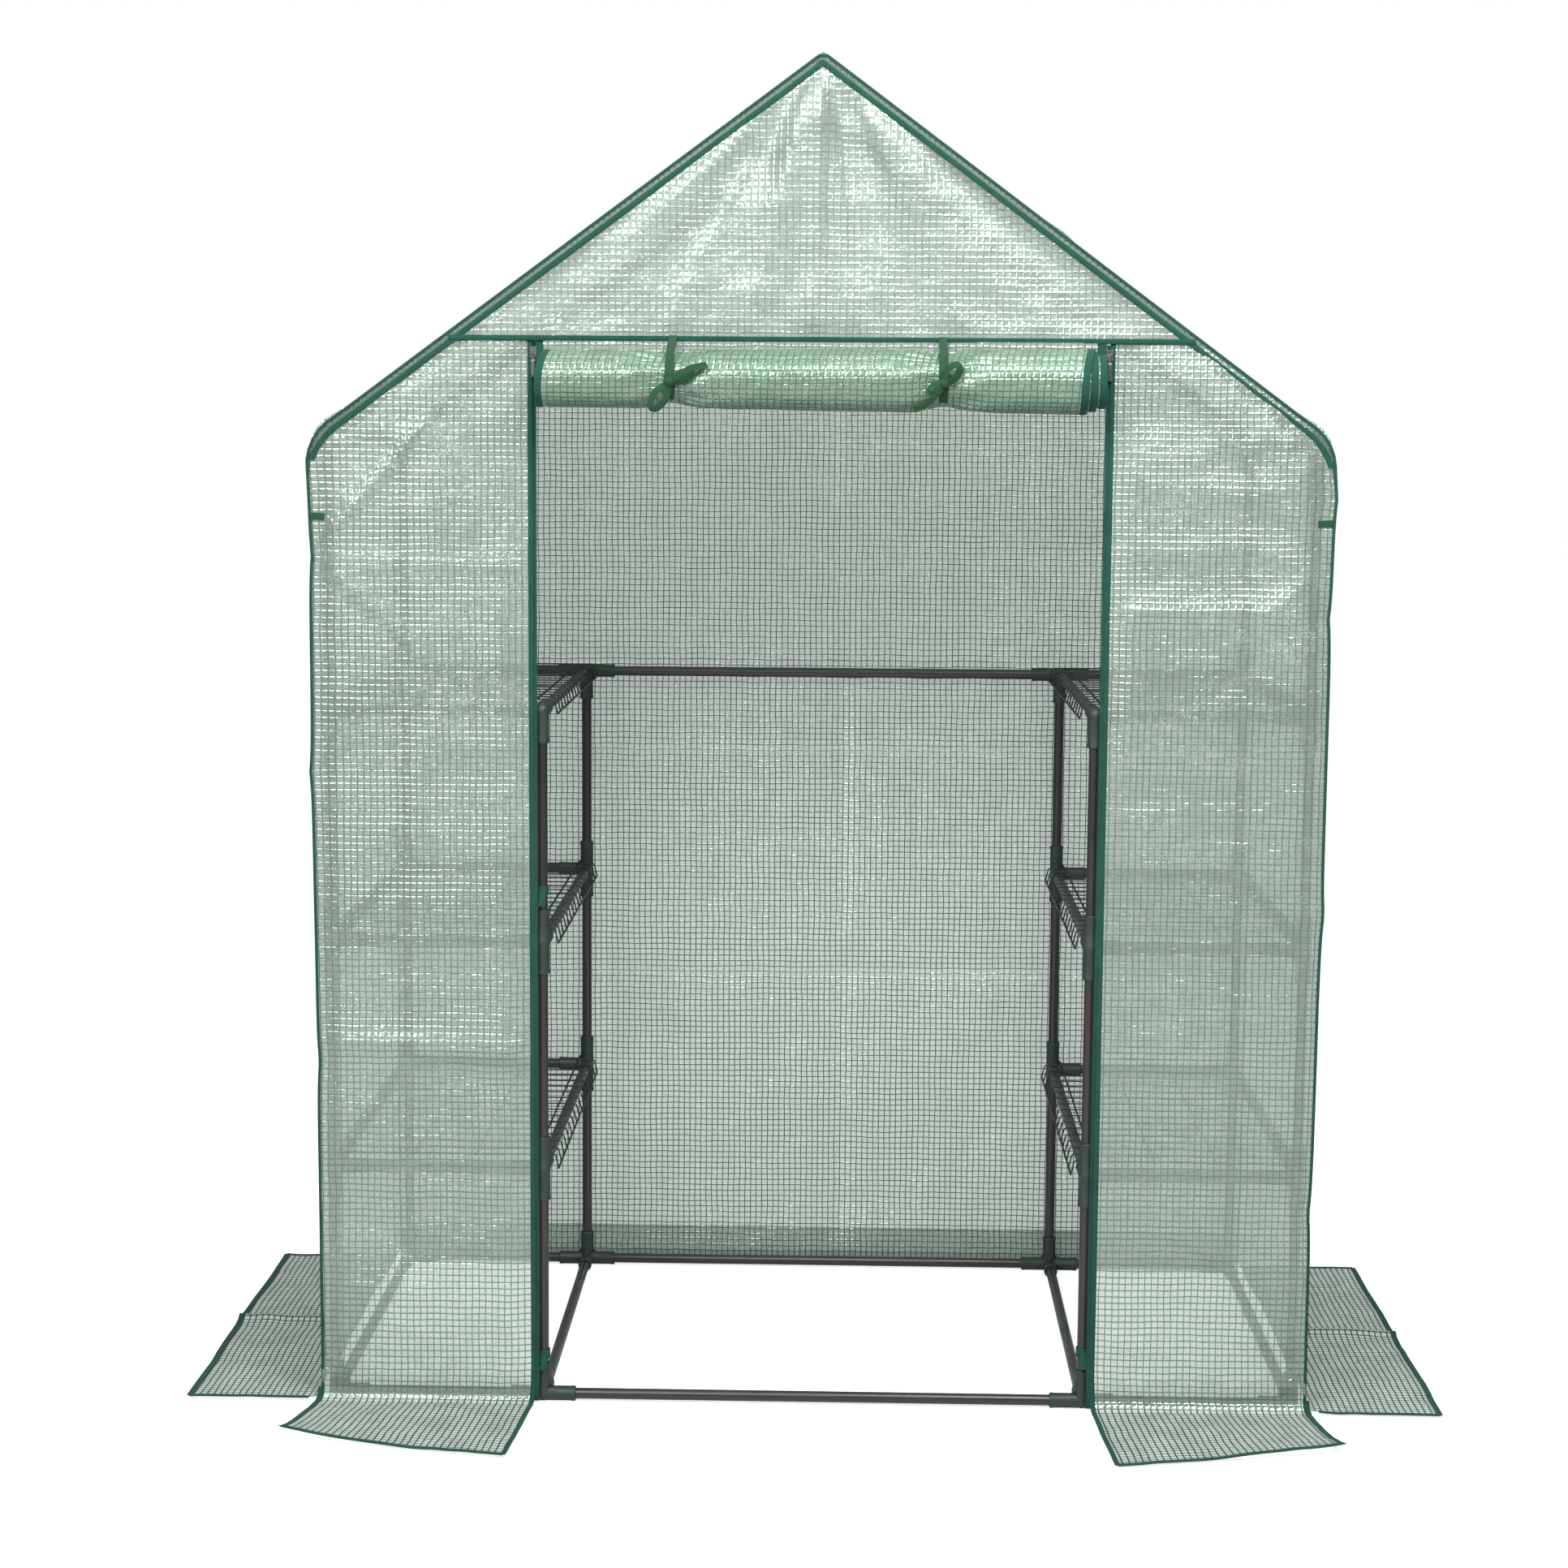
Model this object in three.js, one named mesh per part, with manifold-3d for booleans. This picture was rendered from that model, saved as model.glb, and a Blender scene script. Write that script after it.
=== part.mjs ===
// Walk-in greenhouse: a push-fit steel tube frame with a wire shelf rack on each side of an
// aisle, under a mesh-reinforced cover with ground skirts and a door that rolls up.
// Millimetres, +X right, +Y from the door to the back, +Z up, the floor at z = 0.
import * as THREE from "three";
import { mergeVertices } from "three/addons/utils/BufferGeometryUtils.js";
import Module from "manifold-3d";

const wasm = await Module();
wasm.setup();

// Frame tubes and their moulded push-fit joints.
const TUBE_RADIUS = 8;
const TUBE_WALL = 1;
const SOCKET_RADIUS = 11;
const SOCKET_REACH = 47;
const SOCKET_FLOOR = 9;
const FIT = 0.3;
const TUBE_SIDES = 8;
const BALL_RINGS = 6;

// Cuts run this far past what they cut.
const OVERCUT = 1;

// Where the posts stand, and how high the rails are.
const OUTER_POST_X = 700;
const INNER_POST_X = 395;
const POST_Y = 350;
const BASE_Z = SOCKET_RADIUS;
const TIER_Z = [350, 685, 1020];
const LEVELS = [BASE_Z, ...TIER_Z];
const LEVEL_NAMES = ["base", "tier_1", "tier_2", "tier_3"];
const TOP_TIER_Z = TIER_Z[2];

// The cover: half its width, its ridge, its pitch and the round at the eaves.
const COVER_X = 718;
const COVER_Y = 364;
const COVER_SHEET = 2;
const RIDGE_Z = 1940;
const PITCH = THREE.MathUtils.degToRad(36.4);
const EAVE_RADIUS = 75;
const EAVE_STEPS = 5;
const SKIRT_X = 915;
const SKIRT_Y = 575;
// The front skirts splay outwards, and are shorter at their outer corners.
const SKIRT_CORNER_Y = 530;
const SKIRT_SPLAY = 16;

// The frame's centre lines lie this far inside the cover's outer face.
const ROOF_INSET = COVER_SHEET + 3 + SOCKET_RADIUS;
const ELBOW_RADIUS = 60;
const ELBOW_STEPS = 4;
const ELBOW_SWEEP = 14;

// The doorway, the rolled door and its ties.
const DOOR_X = 408;
const GABLE_HEM_Z = 1546;
const ROLL_X = 393;
const ROLL_Z = 1490;
const ROLL_RADIUS = 44;
const ROLL_TAPER = 3;
const ROLL_PINCH = 7;
const ROLL_PINCH_WIDTH = 32;
const ROLL_GAP = 1.5;
const ROLL_Y = -(COVER_Y + COVER_SHEET + ROLL_RADIUS + ROLL_TAPER + ROLL_GAP);
const ROLL_STATIONS = 20;
const ROLL_SIDES = 12;
const TIE_X = [-207, 170];
const RIBBON_WIDTH = 12;
const RIBBON_SHEET = 1.4;
const BOW_RIBBON_WIDTH = 9;

// A tie's strap starts just below the hem, and then passes the front of the roll at these
// angles above level, standing off it all the way.
const STRAP_START_GAP = 1;
const STRAP_START_DROP = 2;
const STRAP_STAND_OFF = 5;
const STRAP_ANGLES = [58, 40, 20, 0, -12].map(THREE.MathUtils.degToRad);
const STRAP_STEPS = 7;
const KNOT_SIZE = [8, 5, 7];
const KNOT_DROP = 4;
const KNOT_STAND_OFF = 3;
const BOW_LIFT = 4;
const BOW_STEPS = 3;

// Each loop or tail of a bow reaches sideways and upwards from its knot.
const BOW_ARMS = [[-44, -22], [-26, -30], [48, 20], [40, 6]];

// Zip tapes and sliders.
const ZIP_WIDTH = 8;
const ZIP_SHEET = 1.6;
const ZIP_LOW_Z = 4;
const ZIP_HIGH_Z = GABLE_HEM_Z - 6;

// A zip's slider runs on the front of its tape, with a pull tab hung from it.
const SLIDER_BASE_Z = 1518;
const SLIDER_TOP_Z = 1534;
const SLIDER_THICK = 5.6;
const SLIDER_OUTER_OVERLAP = 1.5;
const SLIDER_INNER_OVERLAP = 0.5;
const SLIDER_GAP = 2.4;
const PULL_LENGTH = 28;
const PULL_LAP = 4;
const PULL_THICK = 2;
const PULL_INSET = 2.5;
const PULL_DEPTH = 1;

// Wire shelves, drawn as open grids.
const SHELF_WIRE = 3;
const SHELF_Y = 322;
const SHELF_OUTER_X = 706;
const SHELF_INNER_X = 380;
const SHELF_WIRES = 9;
const SHELF_RUNNERS = 3;
const LIP_LENGTH = 22;
const LIP_LEAN = THREE.MathUtils.degToRad(16);
const LIP_RUNNER_DROP = 1.3;

const finish = (color, roughness, metalness) =>
  new THREE.MeshStandardMaterial({ color, roughness, metalness });
const steel = finish(0x2c2a2c, 0.4, 0.5);
const moulded = finish(0x33443f, 0.6, 0);
const wireCoat = finish(0x3a3d3c, 0.5, 0.4);
const meshSheet = finish(0xa3c2ae, 0.35, 0);
const ribbon = finish(0x2d6e4e, 0.8, 0);
const zipTape = finish(0x274a40, 0.8, 0);
const zipMetal = finish(0x4c5653, 0.4, 0.7);

const greenhouse = new THREE.Group();

function addPart(name, geometry, material) {
  const mesh = new THREE.Mesh(geometry, material);
  mesh.name = name;
  greenhouse.add(mesh);
}

// A closed three.js geometry as a solid that can be joined and cut.
function solid(geometry) {
  const bare = geometry.clone();
  bare.deleteAttribute("normal");
  bare.deleteAttribute("uv");
  const merged = mergeVertices(bare, 1e-3);
  return new wasm.Manifold(
    new wasm.Mesh({
      numProp: 3,
      vertProperties: new Float32Array(merged.attributes.position.array),
      triVerts: new Uint32Array(merged.index.array),
    }),
  );
}

function geometryOf(made) {
  const { vertProperties, triVerts } = made.getMesh();
  const geometry = new THREE.BufferGeometry();
  geometry.setAttribute("position", new THREE.BufferAttribute(vertProperties, 3));
  geometry.setIndex(new THREE.BufferAttribute(triVerts, 1));
  geometry.computeVertexNormals();
  return geometry;
}

function box(xRange, yRange, zRange) {
  const size = [xRange, yRange, zRange].map(([low, high]) => high - low);
  const geometry = new THREE.BoxGeometry(...size);
  const middle = [xRange, yRange, zRange].map(([low, high]) => (low + high) / 2);
  geometry.translate(...middle);
  return solid(geometry);
}

function joined(solids) {
  return solids.reduce((whole, next) => whole.add(next));
}

function cut(whole, tools) {
  return tools.reduce((left, tool) => left.subtract(tool), whole);
}

// A round bar between two points. Opposite directions give the same facets, so that a tube
// and the socket round it always match.
function rod(from, to, radius) {
  const way = to.clone().sub(from);
  const middle = from.clone().add(to).multiplyScalar(0.5);
  const geometry = new THREE.CylinderGeometry(radius, radius, way.length(), TUBE_SIDES);
  const backwards = way.y < -FIT || (Math.abs(way.y) <= FIT && way.z < -FIT);
  const direction = way.normalize().multiplyScalar(backwards ? -1 : 1);
  const up = new THREE.Vector3(0, 1, 0);
  geometry.applyQuaternion(new THREE.Quaternion().setFromUnitVectors(up, direction));
  geometry.translate(middle.x, middle.y, middle.z);
  return solid(geometry);
}

const at = (x, y, z) => new THREE.Vector3(x, y, z);
const along = (from, direction, distance) => from.clone().addScaledVector(direction, distance);

// An open-ended tube between two joint centres, set into the socket at each end.
function tube(from, to) {
  const direction = to.clone().sub(from).normalize();
  const start = along(from, direction, SOCKET_FLOOR + FIT);
  const end = along(to, direction, -SOCKET_FLOOR - FIT);
  const outside = rod(start, end, TUBE_RADIUS);
  const boreStart = along(start, direction, -OVERCUT);
  const boreEnd = along(end, direction, OVERCUT);
  const bore = rod(boreStart, boreEnd, TUBE_RADIUS - TUBE_WALL);
  return geometryOf(outside.subtract(bore));
}

function socket(centre, direction) {
  return rod(centre, along(centre, direction, SOCKET_REACH), SOCKET_RADIUS);
}

function socketBore(centre, direction) {
  const mouth = along(centre, direction, SOCKET_REACH + OVERCUT);
  return rod(along(centre, direction, SOCKET_FLOOR), mouth, TUBE_RADIUS + FIT);
}

// A flat outline in X and Z, given thickness between two values of Y.
function standing(points, yFrom, yTo) {
  const outline = new THREE.Shape(points.map(([x, z]) => new THREE.Vector2(x, z)));
  const geometry = new THREE.ExtrudeGeometry(outline, { depth: yTo - yFrom, bevelEnabled: false });
  geometry.rotateX(Math.PI / 2);
  geometry.translate(0, yTo, 0);
  return solid(geometry);
}

// A flat outline in X and Y, given thickness upwards from the floor.
function lying(points, thickness) {
  const outline = new THREE.Shape(points.map(([x, y]) => new THREE.Vector2(x, y)));
  return solid(new THREE.ExtrudeGeometry(outline, { depth: thickness, bevelEnabled: false }));
}

const mirrored = (points, side) => points.map(([x, z]) => [x * side, z]);

// Half of the cover's outline, from the foot of the right wall to the ridge, drawn inset.
function coverOutline(inset) {
  const cornerZ = RIDGE_Z - COVER_X * Math.tan(PITCH);
  const bend = Math.PI / 2 - PITCH;
  const centreX = COVER_X - EAVE_RADIUS;
  const centreZ = cornerZ - EAVE_RADIUS * Math.tan(bend / 2);
  const radius = EAVE_RADIUS - inset;
  const points = [[COVER_X - inset, 0]];
  for (let step = 0; step <= EAVE_STEPS; step += 1) {
    const angle = (bend * step) / EAVE_STEPS;
    points.push([centreX + radius * Math.cos(angle), centreZ + radius * Math.sin(angle)]);
  }
  points.push([0, RIDGE_Z - inset / Math.cos(PITCH)]);
  return points;
}

const roofZ = (x) => RIDGE_Z - Math.abs(x) * Math.tan(PITCH);

// ---- Shelf racks: a ladder of two posts and four rungs closes each end of each rack.

const SIDES = { left: -1, right: 1 };
const ENDS = { front: -1, back: 1 };
const UP = at(0, 0, 1);

function rackEnd(side, end) {
  const y = end * POST_Y;
  const outer = (z) => at(side * OUTER_POST_X, y, z);
  const inner = (z) => at(side * INNER_POST_X, y, z);
  const towardsAisle = at(-side, 0, 0);
  const towardsWall = at(side, 0, 0);
  const inwards = at(0, -end, 0);
  const solids = [
    rod(outer(BASE_Z), outer(TOP_TIER_Z), TUBE_RADIUS),
    rod(inner(BASE_Z), inner(TOP_TIER_Z), TUBE_RADIUS),
  ];
  const bores = [];
  for (const z of LEVELS) {
    solids.push(rod(outer(z), inner(z), TUBE_RADIUS));
    solids.push(socket(outer(z), towardsAisle), socket(inner(z), towardsWall));
    for (const post of [outer(z), inner(z)]) {
      solids.push(socket(post, inwards));
      bores.push(socketBore(post, inwards));
      const top = z === TOP_TIER_Z ? SOCKET_RADIUS : SOCKET_REACH;
      const bottom = z === BASE_Z ? BASE_Z : SOCKET_REACH;
      solids.push(rod(along(post, UP, -bottom), along(post, UP, top), SOCKET_RADIUS));
    }
    const crossbarHere = z === BASE_Z || (z === TOP_TIER_Z && end === ENDS.back);
    if (crossbarHere) {
      solids.push(socket(inner(z), towardsAisle));
      bores.push(socketBore(inner(z), towardsAisle));
    }
  }
  solids.push(socket(outer(TOP_TIER_Z), UP));
  bores.push(socketBore(outer(TOP_TIER_Z), UP));
  return geometryOf(cut(joined(solids), bores));
}

function addRacks() {
  for (const [sideName, side] of Object.entries(SIDES)) {
    for (const [endName, end] of Object.entries(ENDS)) {
      addPart(`${sideName}_${endName}_rack_end`, rackEnd(side, end), steel);
    }
    for (const [postName, x] of Object.entries({ outer: OUTER_POST_X, inner: INNER_POST_X })) {
      LEVELS.forEach((z, level) => {
        const rail = tube(at(side * x, -POST_Y, z), at(side * x, POST_Y, z));
        addPart(`${sideName}_${postName}_rail_${LEVEL_NAMES[level]}`, rail, steel);
      });
    }
  }
}

function addCrossbars() {
  const crossbar = (y, z) => tube(at(-INNER_POST_X, y, z), at(INNER_POST_X, y, z));
  addPart("front_base_crossbar", crossbar(-POST_Y, BASE_Z), steel);
  addPart("back_base_crossbar", crossbar(POST_Y, BASE_Z), steel);
  addPart("back_tier_3_crossbar", crossbar(POST_Y, TOP_TIER_Z), steel);
}

// ---- Roof frame.

const RIDGE_AXIS_Z = RIDGE_Z - ROOF_INSET / Math.cos(PITCH);
const EAVE_CORNER_Z = RIDGE_AXIS_Z - OUTER_POST_X * Math.tan(PITCH);

// The rafter's direction, from the eave up to the ridge.
const rafterWay = (side) => at(-side * Math.cos(PITCH), 0, Math.sin(PITCH));

// Where the bend of the elbow starts on the post and ends on the rafter.
const ELBOW_TANGENT = ELBOW_RADIUS * Math.tan((Math.PI / 2 - PITCH) / 2);
const elbowFoot = (side, y) => at(side * OUTER_POST_X, y, EAVE_CORNER_Z - ELBOW_TANGENT);
const elbowHead = (side, y) =>
  along(at(side * OUTER_POST_X, y, EAVE_CORNER_Z), rafterWay(side), ELBOW_TANGENT);

function elbowBend(side, y) {
  const foot = elbowFoot(side, y);
  const bend = Math.PI / 2 - PITCH;
  const points = [];
  for (let step = 0; step <= ELBOW_STEPS; step += 1) {
    const angle = (bend * step) / ELBOW_STEPS;
    const inwards = ELBOW_RADIUS * (1 - Math.cos(angle));
    points.push(at(foot.x - side * inwards, y, foot.z + ELBOW_RADIUS * Math.sin(angle)));
  }
  return points;
}

// A round bar swept along a smooth route.
function sweptRod(points, radius, steps) {
  const ring = [];
  for (let corner = 0; corner < TUBE_SIDES; corner += 1) {
    const angle = (2 * Math.PI * corner) / TUBE_SIDES;
    ring.push(new THREE.Vector2(radius * Math.cos(angle), radius * Math.sin(angle)));
  }
  const route = new THREE.CatmullRomCurve3(points);
  const options = { extrudePath: route, steps, bevelEnabled: false };
  return solid(new THREE.ExtrudeGeometry(new THREE.Shape(ring), options));
}

function eaveElbow(side, end) {
  const y = end * POST_Y;
  const bend = elbowBend(side, y);
  const rails = at(0, -end, 0);
  const down = at(0, 0, -1);
  const foot = bend[0];
  const head = bend[ELBOW_STEPS];
  const middle = bend[ELBOW_STEPS / 2];
  const lowEnd = along(foot, down, SOCKET_REACH);
  const highEnd = along(head, rafterWay(side), SOCKET_REACH);
  const body = sweptRod([lowEnd, ...bend, highEnd], SOCKET_RADIUS, ELBOW_SWEEP);
  const bores = [
    socketBore(foot, down),
    socketBore(head, rafterWay(side)),
    socketBore(middle, rails),
  ];
  return geometryOf(cut(body.add(socket(middle, rails)), bores));
}

function ridgeJoint(end) {
  const centre = at(0, end * POST_Y, RIDGE_AXIS_Z);
  const down = Object.values(SIDES).map((side) => rafterWay(side).negate());
  const ways = [...down, at(0, -end, 0)];
  const hub = new THREE.SphereGeometry(SOCKET_RADIUS, TUBE_SIDES, BALL_RINGS);
  hub.translate(centre.x, centre.y, centre.z);
  const sockets = ways.map((way) => socket(centre, way));
  const bores = ways.map((way) => socketBore(centre, way));
  return geometryOf(cut(joined([solid(hub), ...sockets]), bores));
}

function addRoofFrame() {
  for (const [sideName, side] of Object.entries(SIDES)) {
    for (const [endName, end] of Object.entries(ENDS)) {
      const y = end * POST_Y;
      const postTop = elbowFoot(side, y);
      const rackTop = at(side * OUTER_POST_X, y, TOP_TIER_Z);
      addPart(`${sideName}_${endName}_upper_post`, tube(rackTop, postTop), steel);
      addPart(`${sideName}_${endName}_eave_elbow`, eaveElbow(side, end), moulded);
      const rafter = tube(elbowHead(side, y), at(0, y, RIDGE_AXIS_Z));
      addPart(`${sideName}_${endName}_rafter`, rafter, steel);
    }
    const eave = (y) => elbowBend(side, y)[ELBOW_STEPS / 2];
    addPart(`${sideName}_eave_rail`, tube(eave(-POST_Y), eave(POST_Y)), steel);
  }
  for (const [endName, end] of Object.entries(ENDS)) {
    addPart(`${endName}_ridge_joint`, ridgeJoint(end), moulded);
  }
  const ridge = (y) => at(0, y, RIDGE_AXIS_Z);
  addPart("ridge_rail", tube(ridge(-POST_Y), ridge(POST_Y)), steel);
}

// ---- Wire shelves, which lie loose on the rails with a lip hooked over the aisle rail.

// One cross wire of a left shelf, seen from the front: flat over both rails, then bent down
// into the lip on the aisle side.
function shelfWire(bottom) {
  const top = bottom + SHELF_WIRE;
  const bend = [-SHELF_INNER_X, top];
  const down = [Math.sin(LIP_LEAN), -Math.cos(LIP_LEAN)];
  const tip = [bend[0] + down[0] * LIP_LENGTH, bend[1] + down[1] * LIP_LENGTH];
  const across = [-Math.cos(LIP_LEAN) * SHELF_WIRE, -Math.sin(LIP_LEAN) * SHELF_WIRE];
  const run = (SHELF_WIRE * (1 - Math.sin(LIP_LEAN))) / Math.cos(LIP_LEAN);
  const crook = [bend[0] + across[0] + run * down[0], bottom];
  const tipInside = [tip[0] + across[0], tip[1] + across[1]];
  const start = -SHELF_OUTER_X;
  return { tip: tipInside, outline: [[start, bottom], crook, tipInside, tip, bend, [start, top]] };
}

function shelf(side, tierZ) {
  const bottom = tierZ + SOCKET_RADIUS + FIT;
  const { tip, outline } = shelfWire(bottom);
  const pieces = [];
  for (let wire = 0; wire < SHELF_WIRES; wire += 1) {
    const y = (wire * (2 * SHELF_Y - SHELF_WIRE)) / (SHELF_WIRES - 1) - SHELF_Y;
    pieces.push(standing(outline, y, y + SHELF_WIRE));
  }
  for (let runner = 0; runner < SHELF_RUNNERS; runner += 1) {
    const pitch = (SHELF_OUTER_X - SHELF_INNER_X - 2 * SHELF_WIRE) / (SHELF_RUNNERS - 1);
    const x = runner * pitch - SHELF_OUTER_X;
    const height = [bottom, bottom + SHELF_WIRE];
    pieces.push(box([x, x + SHELF_WIRE], [-SHELF_Y, SHELF_Y], height));
  }
  const lipEdge = [tip[0] - FIT, tip[0] + SHELF_WIRE + FIT];
  const lipHeight = [tip[1] - LIP_RUNNER_DROP, tip[1] + SHELF_WIRE];
  const lipRunner = box(lipEdge, [-SHELF_Y, SHELF_Y], lipHeight);
  const whole = joined([...pieces, lipRunner]);
  return geometryOf(side === SIDES.left ? whole : whole.mirror([1, 0, 0]));
}

function addShelves() {
  for (const [sideName, side] of Object.entries(SIDES)) {
    TIER_Z.forEach((z, tier) => {
      addPart(`${sideName}_shelf_${tier + 1}`, shelf(side, z), wireCoat);
    });
  }
}

// ---- Cover.

function coverSide(side) {
  const outside = coverOutline(0);
  const inside = coverOutline(COVER_SHEET);
  const [, ...wallUp] = outside;
  wallUp[wallUp.length - 1] = [FIT, roofZ(FIT)];
  inside[inside.length - 1] = [FIT, roofZ(FIT) - COVER_SHEET / Math.cos(PITCH)];
  const skirt = [[SKIRT_X, 0], [SKIRT_X, COVER_SHEET], [COVER_X, COVER_SHEET]];
  const section = [...skirt, ...wallUp, ...inside.reverse()];
  return geometryOf(standing(mirrored(section, side), -COVER_Y, COVER_Y));
}

const PANEL_Y = COVER_Y + FIT;

function coverBack() {
  const right = coverOutline(0);
  const left = mirrored(right.slice(0, -1).reverse(), -1);
  const wall = standing([...right, ...left], PANEL_Y, PANEL_Y + COVER_SHEET);
  const near = PANEL_Y;
  const edge = [[-COVER_X, near], [COVER_X, near], [COVER_X, SKIRT_Y], [-COVER_X, SKIRT_Y]];
  return geometryOf(wall.add(lying(edge, COVER_SHEET)));
}

function coverFront(side) {
  const hem = GABLE_HEM_Z - FIT;
  const slope = coverOutline(0).slice(0, -1);
  const hemX = (RIDGE_Z - hem) / Math.tan(PITCH);
  const outline = [[DOOR_X, 0], ...slope, [hemX, hem], [DOOR_X, hem]];
  const wall = standing(mirrored(outline, side), -PANEL_Y - COVER_SHEET, -PANEL_Y);
  const skirt = [
    [DOOR_X, -PANEL_Y],
    [DOOR_X + SKIRT_SPLAY, -SKIRT_Y],
    [COVER_X + SKIRT_SPLAY, -SKIRT_CORNER_Y],
    [COVER_X, -PANEL_Y],
  ];
  return geometryOf(wall.add(lying(mirrored(skirt, side), COVER_SHEET)));
}

function coverGable() {
  const hemX = (RIDGE_Z - GABLE_HEM_Z) / Math.tan(PITCH);
  const outline = [[-hemX, GABLE_HEM_Z], [hemX, GABLE_HEM_Z], [0, RIDGE_Z]];
  return geometryOf(standing(outline, -PANEL_Y - COVER_SHEET, -PANEL_Y));
}

function addCover() {
  for (const [sideName, side] of Object.entries(SIDES)) {
    addPart(`cover_${sideName}_side`, coverSide(side), meshSheet);
    addPart(`cover_front_${sideName}`, coverFront(side), meshSheet);
  }
  addPart("cover_back", coverBack(), meshSheet);
  addPart("cover_front_gable", coverGable(), meshSheet);
}

// ---- Door, rolled up under the gable hem, with its zips and ties.

// The roll's radius: it tapers to the left, and each tie pinches it.
function rollRadius(x) {
  const pinches = TIE_X.map((tie) => Math.exp(-(((x - tie) / ROLL_PINCH_WIDTH) ** 2)));
  const pinched = pinches.reduce((sum, pinch) => sum + pinch, 0);
  return ROLL_RADIUS + (ROLL_TAPER * x) / ROLL_X - ROLL_PINCH * pinched;
}

function doorRoll() {
  const profile = [new THREE.Vector2(0, -ROLL_X)];
  for (let station = 0; station <= ROLL_STATIONS; station += 1) {
    const x = -ROLL_X + (2 * ROLL_X * station) / ROLL_STATIONS;
    profile.push(new THREE.Vector2(rollRadius(x), x));
  }
  profile.push(new THREE.Vector2(0, ROLL_X));
  const roll = new THREE.LatheGeometry(profile, ROLL_SIDES);
  roll.rotateZ(-Math.PI / 2);
  roll.translate(0, ROLL_Y, ROLL_Z);
  return geometryOf(solid(roll));
}

// A flat ribbon that follows a smooth route. A route in the plane of Y and Z has its first
// size along X, and a route across the front of the roll has its first size along Y.
function ribbonAlong(points, firstSize, secondSize, steps) {
  const u = firstSize / 2;
  const v = secondSize / 2;
  const corners = [[-u, -v], [u, -v], [u, v], [-u, v]];
  const section = new THREE.Shape(corners.map(([x, y]) => new THREE.Vector2(x, y)));
  const options = { extrudePath: new THREE.CatmullRomCurve3(points), steps, bevelEnabled: false };
  return solid(new THREE.ExtrudeGeometry(section, options));
}

// A tie's strap hangs from the hem down the front of the roll, and ends in a flat bow.
function doorTie(x) {
  const reach = rollRadius(x) + STRAP_STAND_OFF;
  const strap = [at(x, -PANEL_Y - COVER_SHEET - STRAP_START_GAP, GABLE_HEM_Z - STRAP_START_DROP)];
  for (const angle of STRAP_ANGLES) {
    strap.push(at(x, ROLL_Y - reach * Math.cos(angle), ROLL_Z + reach * Math.sin(angle)));
  }
  const front = ROLL_Y - reach - KNOT_STAND_OFF;
  const bowZ = ROLL_Z - KNOT_DROP;
  const knot = new THREE.SphereGeometry(1, TUBE_SIDES, BALL_RINGS);
  knot.scale(...KNOT_SIZE);
  knot.translate(x, front, bowZ);
  const arm = ([sideways, rise]) => [
    at(x, front, bowZ),
    at(x + sideways / 2, front - BOW_LIFT, bowZ + rise / 2),
    at(x + sideways, front - BOW_LIFT / 2, bowZ + rise),
  ];
  const ribbons = BOW_ARMS.map((reachOut) =>
    ribbonAlong(arm(reachOut), RIBBON_SHEET, BOW_RIBBON_WIDTH, BOW_STEPS),
  );
  const hung = ribbonAlong(strap, RIBBON_WIDTH, RIBBON_SHEET, STRAP_STEPS);
  return geometryOf(joined([hung, solid(knot), ...ribbons]));
}

function zipSlider() {
  const low = DOOR_X - ZIP_WIDTH - SLIDER_OUTER_OVERLAP;
  const front = -PANEL_Y - SLIDER_GAP - SLIDER_THICK;
  const body = box(
    [low, DOOR_X + SLIDER_INNER_OVERLAP],
    [front, front + SLIDER_THICK],
    [SLIDER_BASE_Z, SLIDER_TOP_Z],
  );
  const pull = box(
    [low + PULL_INSET, DOOR_X - PULL_INSET],
    [front + PULL_DEPTH, front + PULL_DEPTH + PULL_THICK],
    [SLIDER_BASE_Z - PULL_LENGTH, SLIDER_BASE_Z + PULL_LAP],
  );
  return body.add(pull);
}

function addDoor() {
  addPart("door_roll", doorRoll(), meshSheet);
  const tape = box(
    [DOOR_X - FIT - ZIP_WIDTH, DOOR_X - FIT],
    [-PANEL_Y - ZIP_SHEET, -PANEL_Y],
    [ZIP_LOW_Z, ZIP_HIGH_Z],
  );
  for (const [sideName, side] of Object.entries(SIDES)) {
    const placed = (made) => (side === SIDES.right ? made : made.mirror([1, 0, 0]));
    addPart(`${sideName}_zip_tape`, geometryOf(placed(tape)), zipTape);
    addPart(`${sideName}_zip_slider`, geometryOf(placed(zipSlider())), zipMetal);
  }
  TIE_X.forEach((x, tie) => {
    addPart(`${Object.keys(SIDES)[tie]}_door_tie`, doorTie(x), ribbon);
  });
}

addRacks();
addCrossbars();
addRoofFrame();
addShelves();
addCover();
addDoor();

export default greenhouse;
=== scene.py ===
"""Looks of the walk-in greenhouse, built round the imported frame. Metres, +Y away from the door."""
import math

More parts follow.
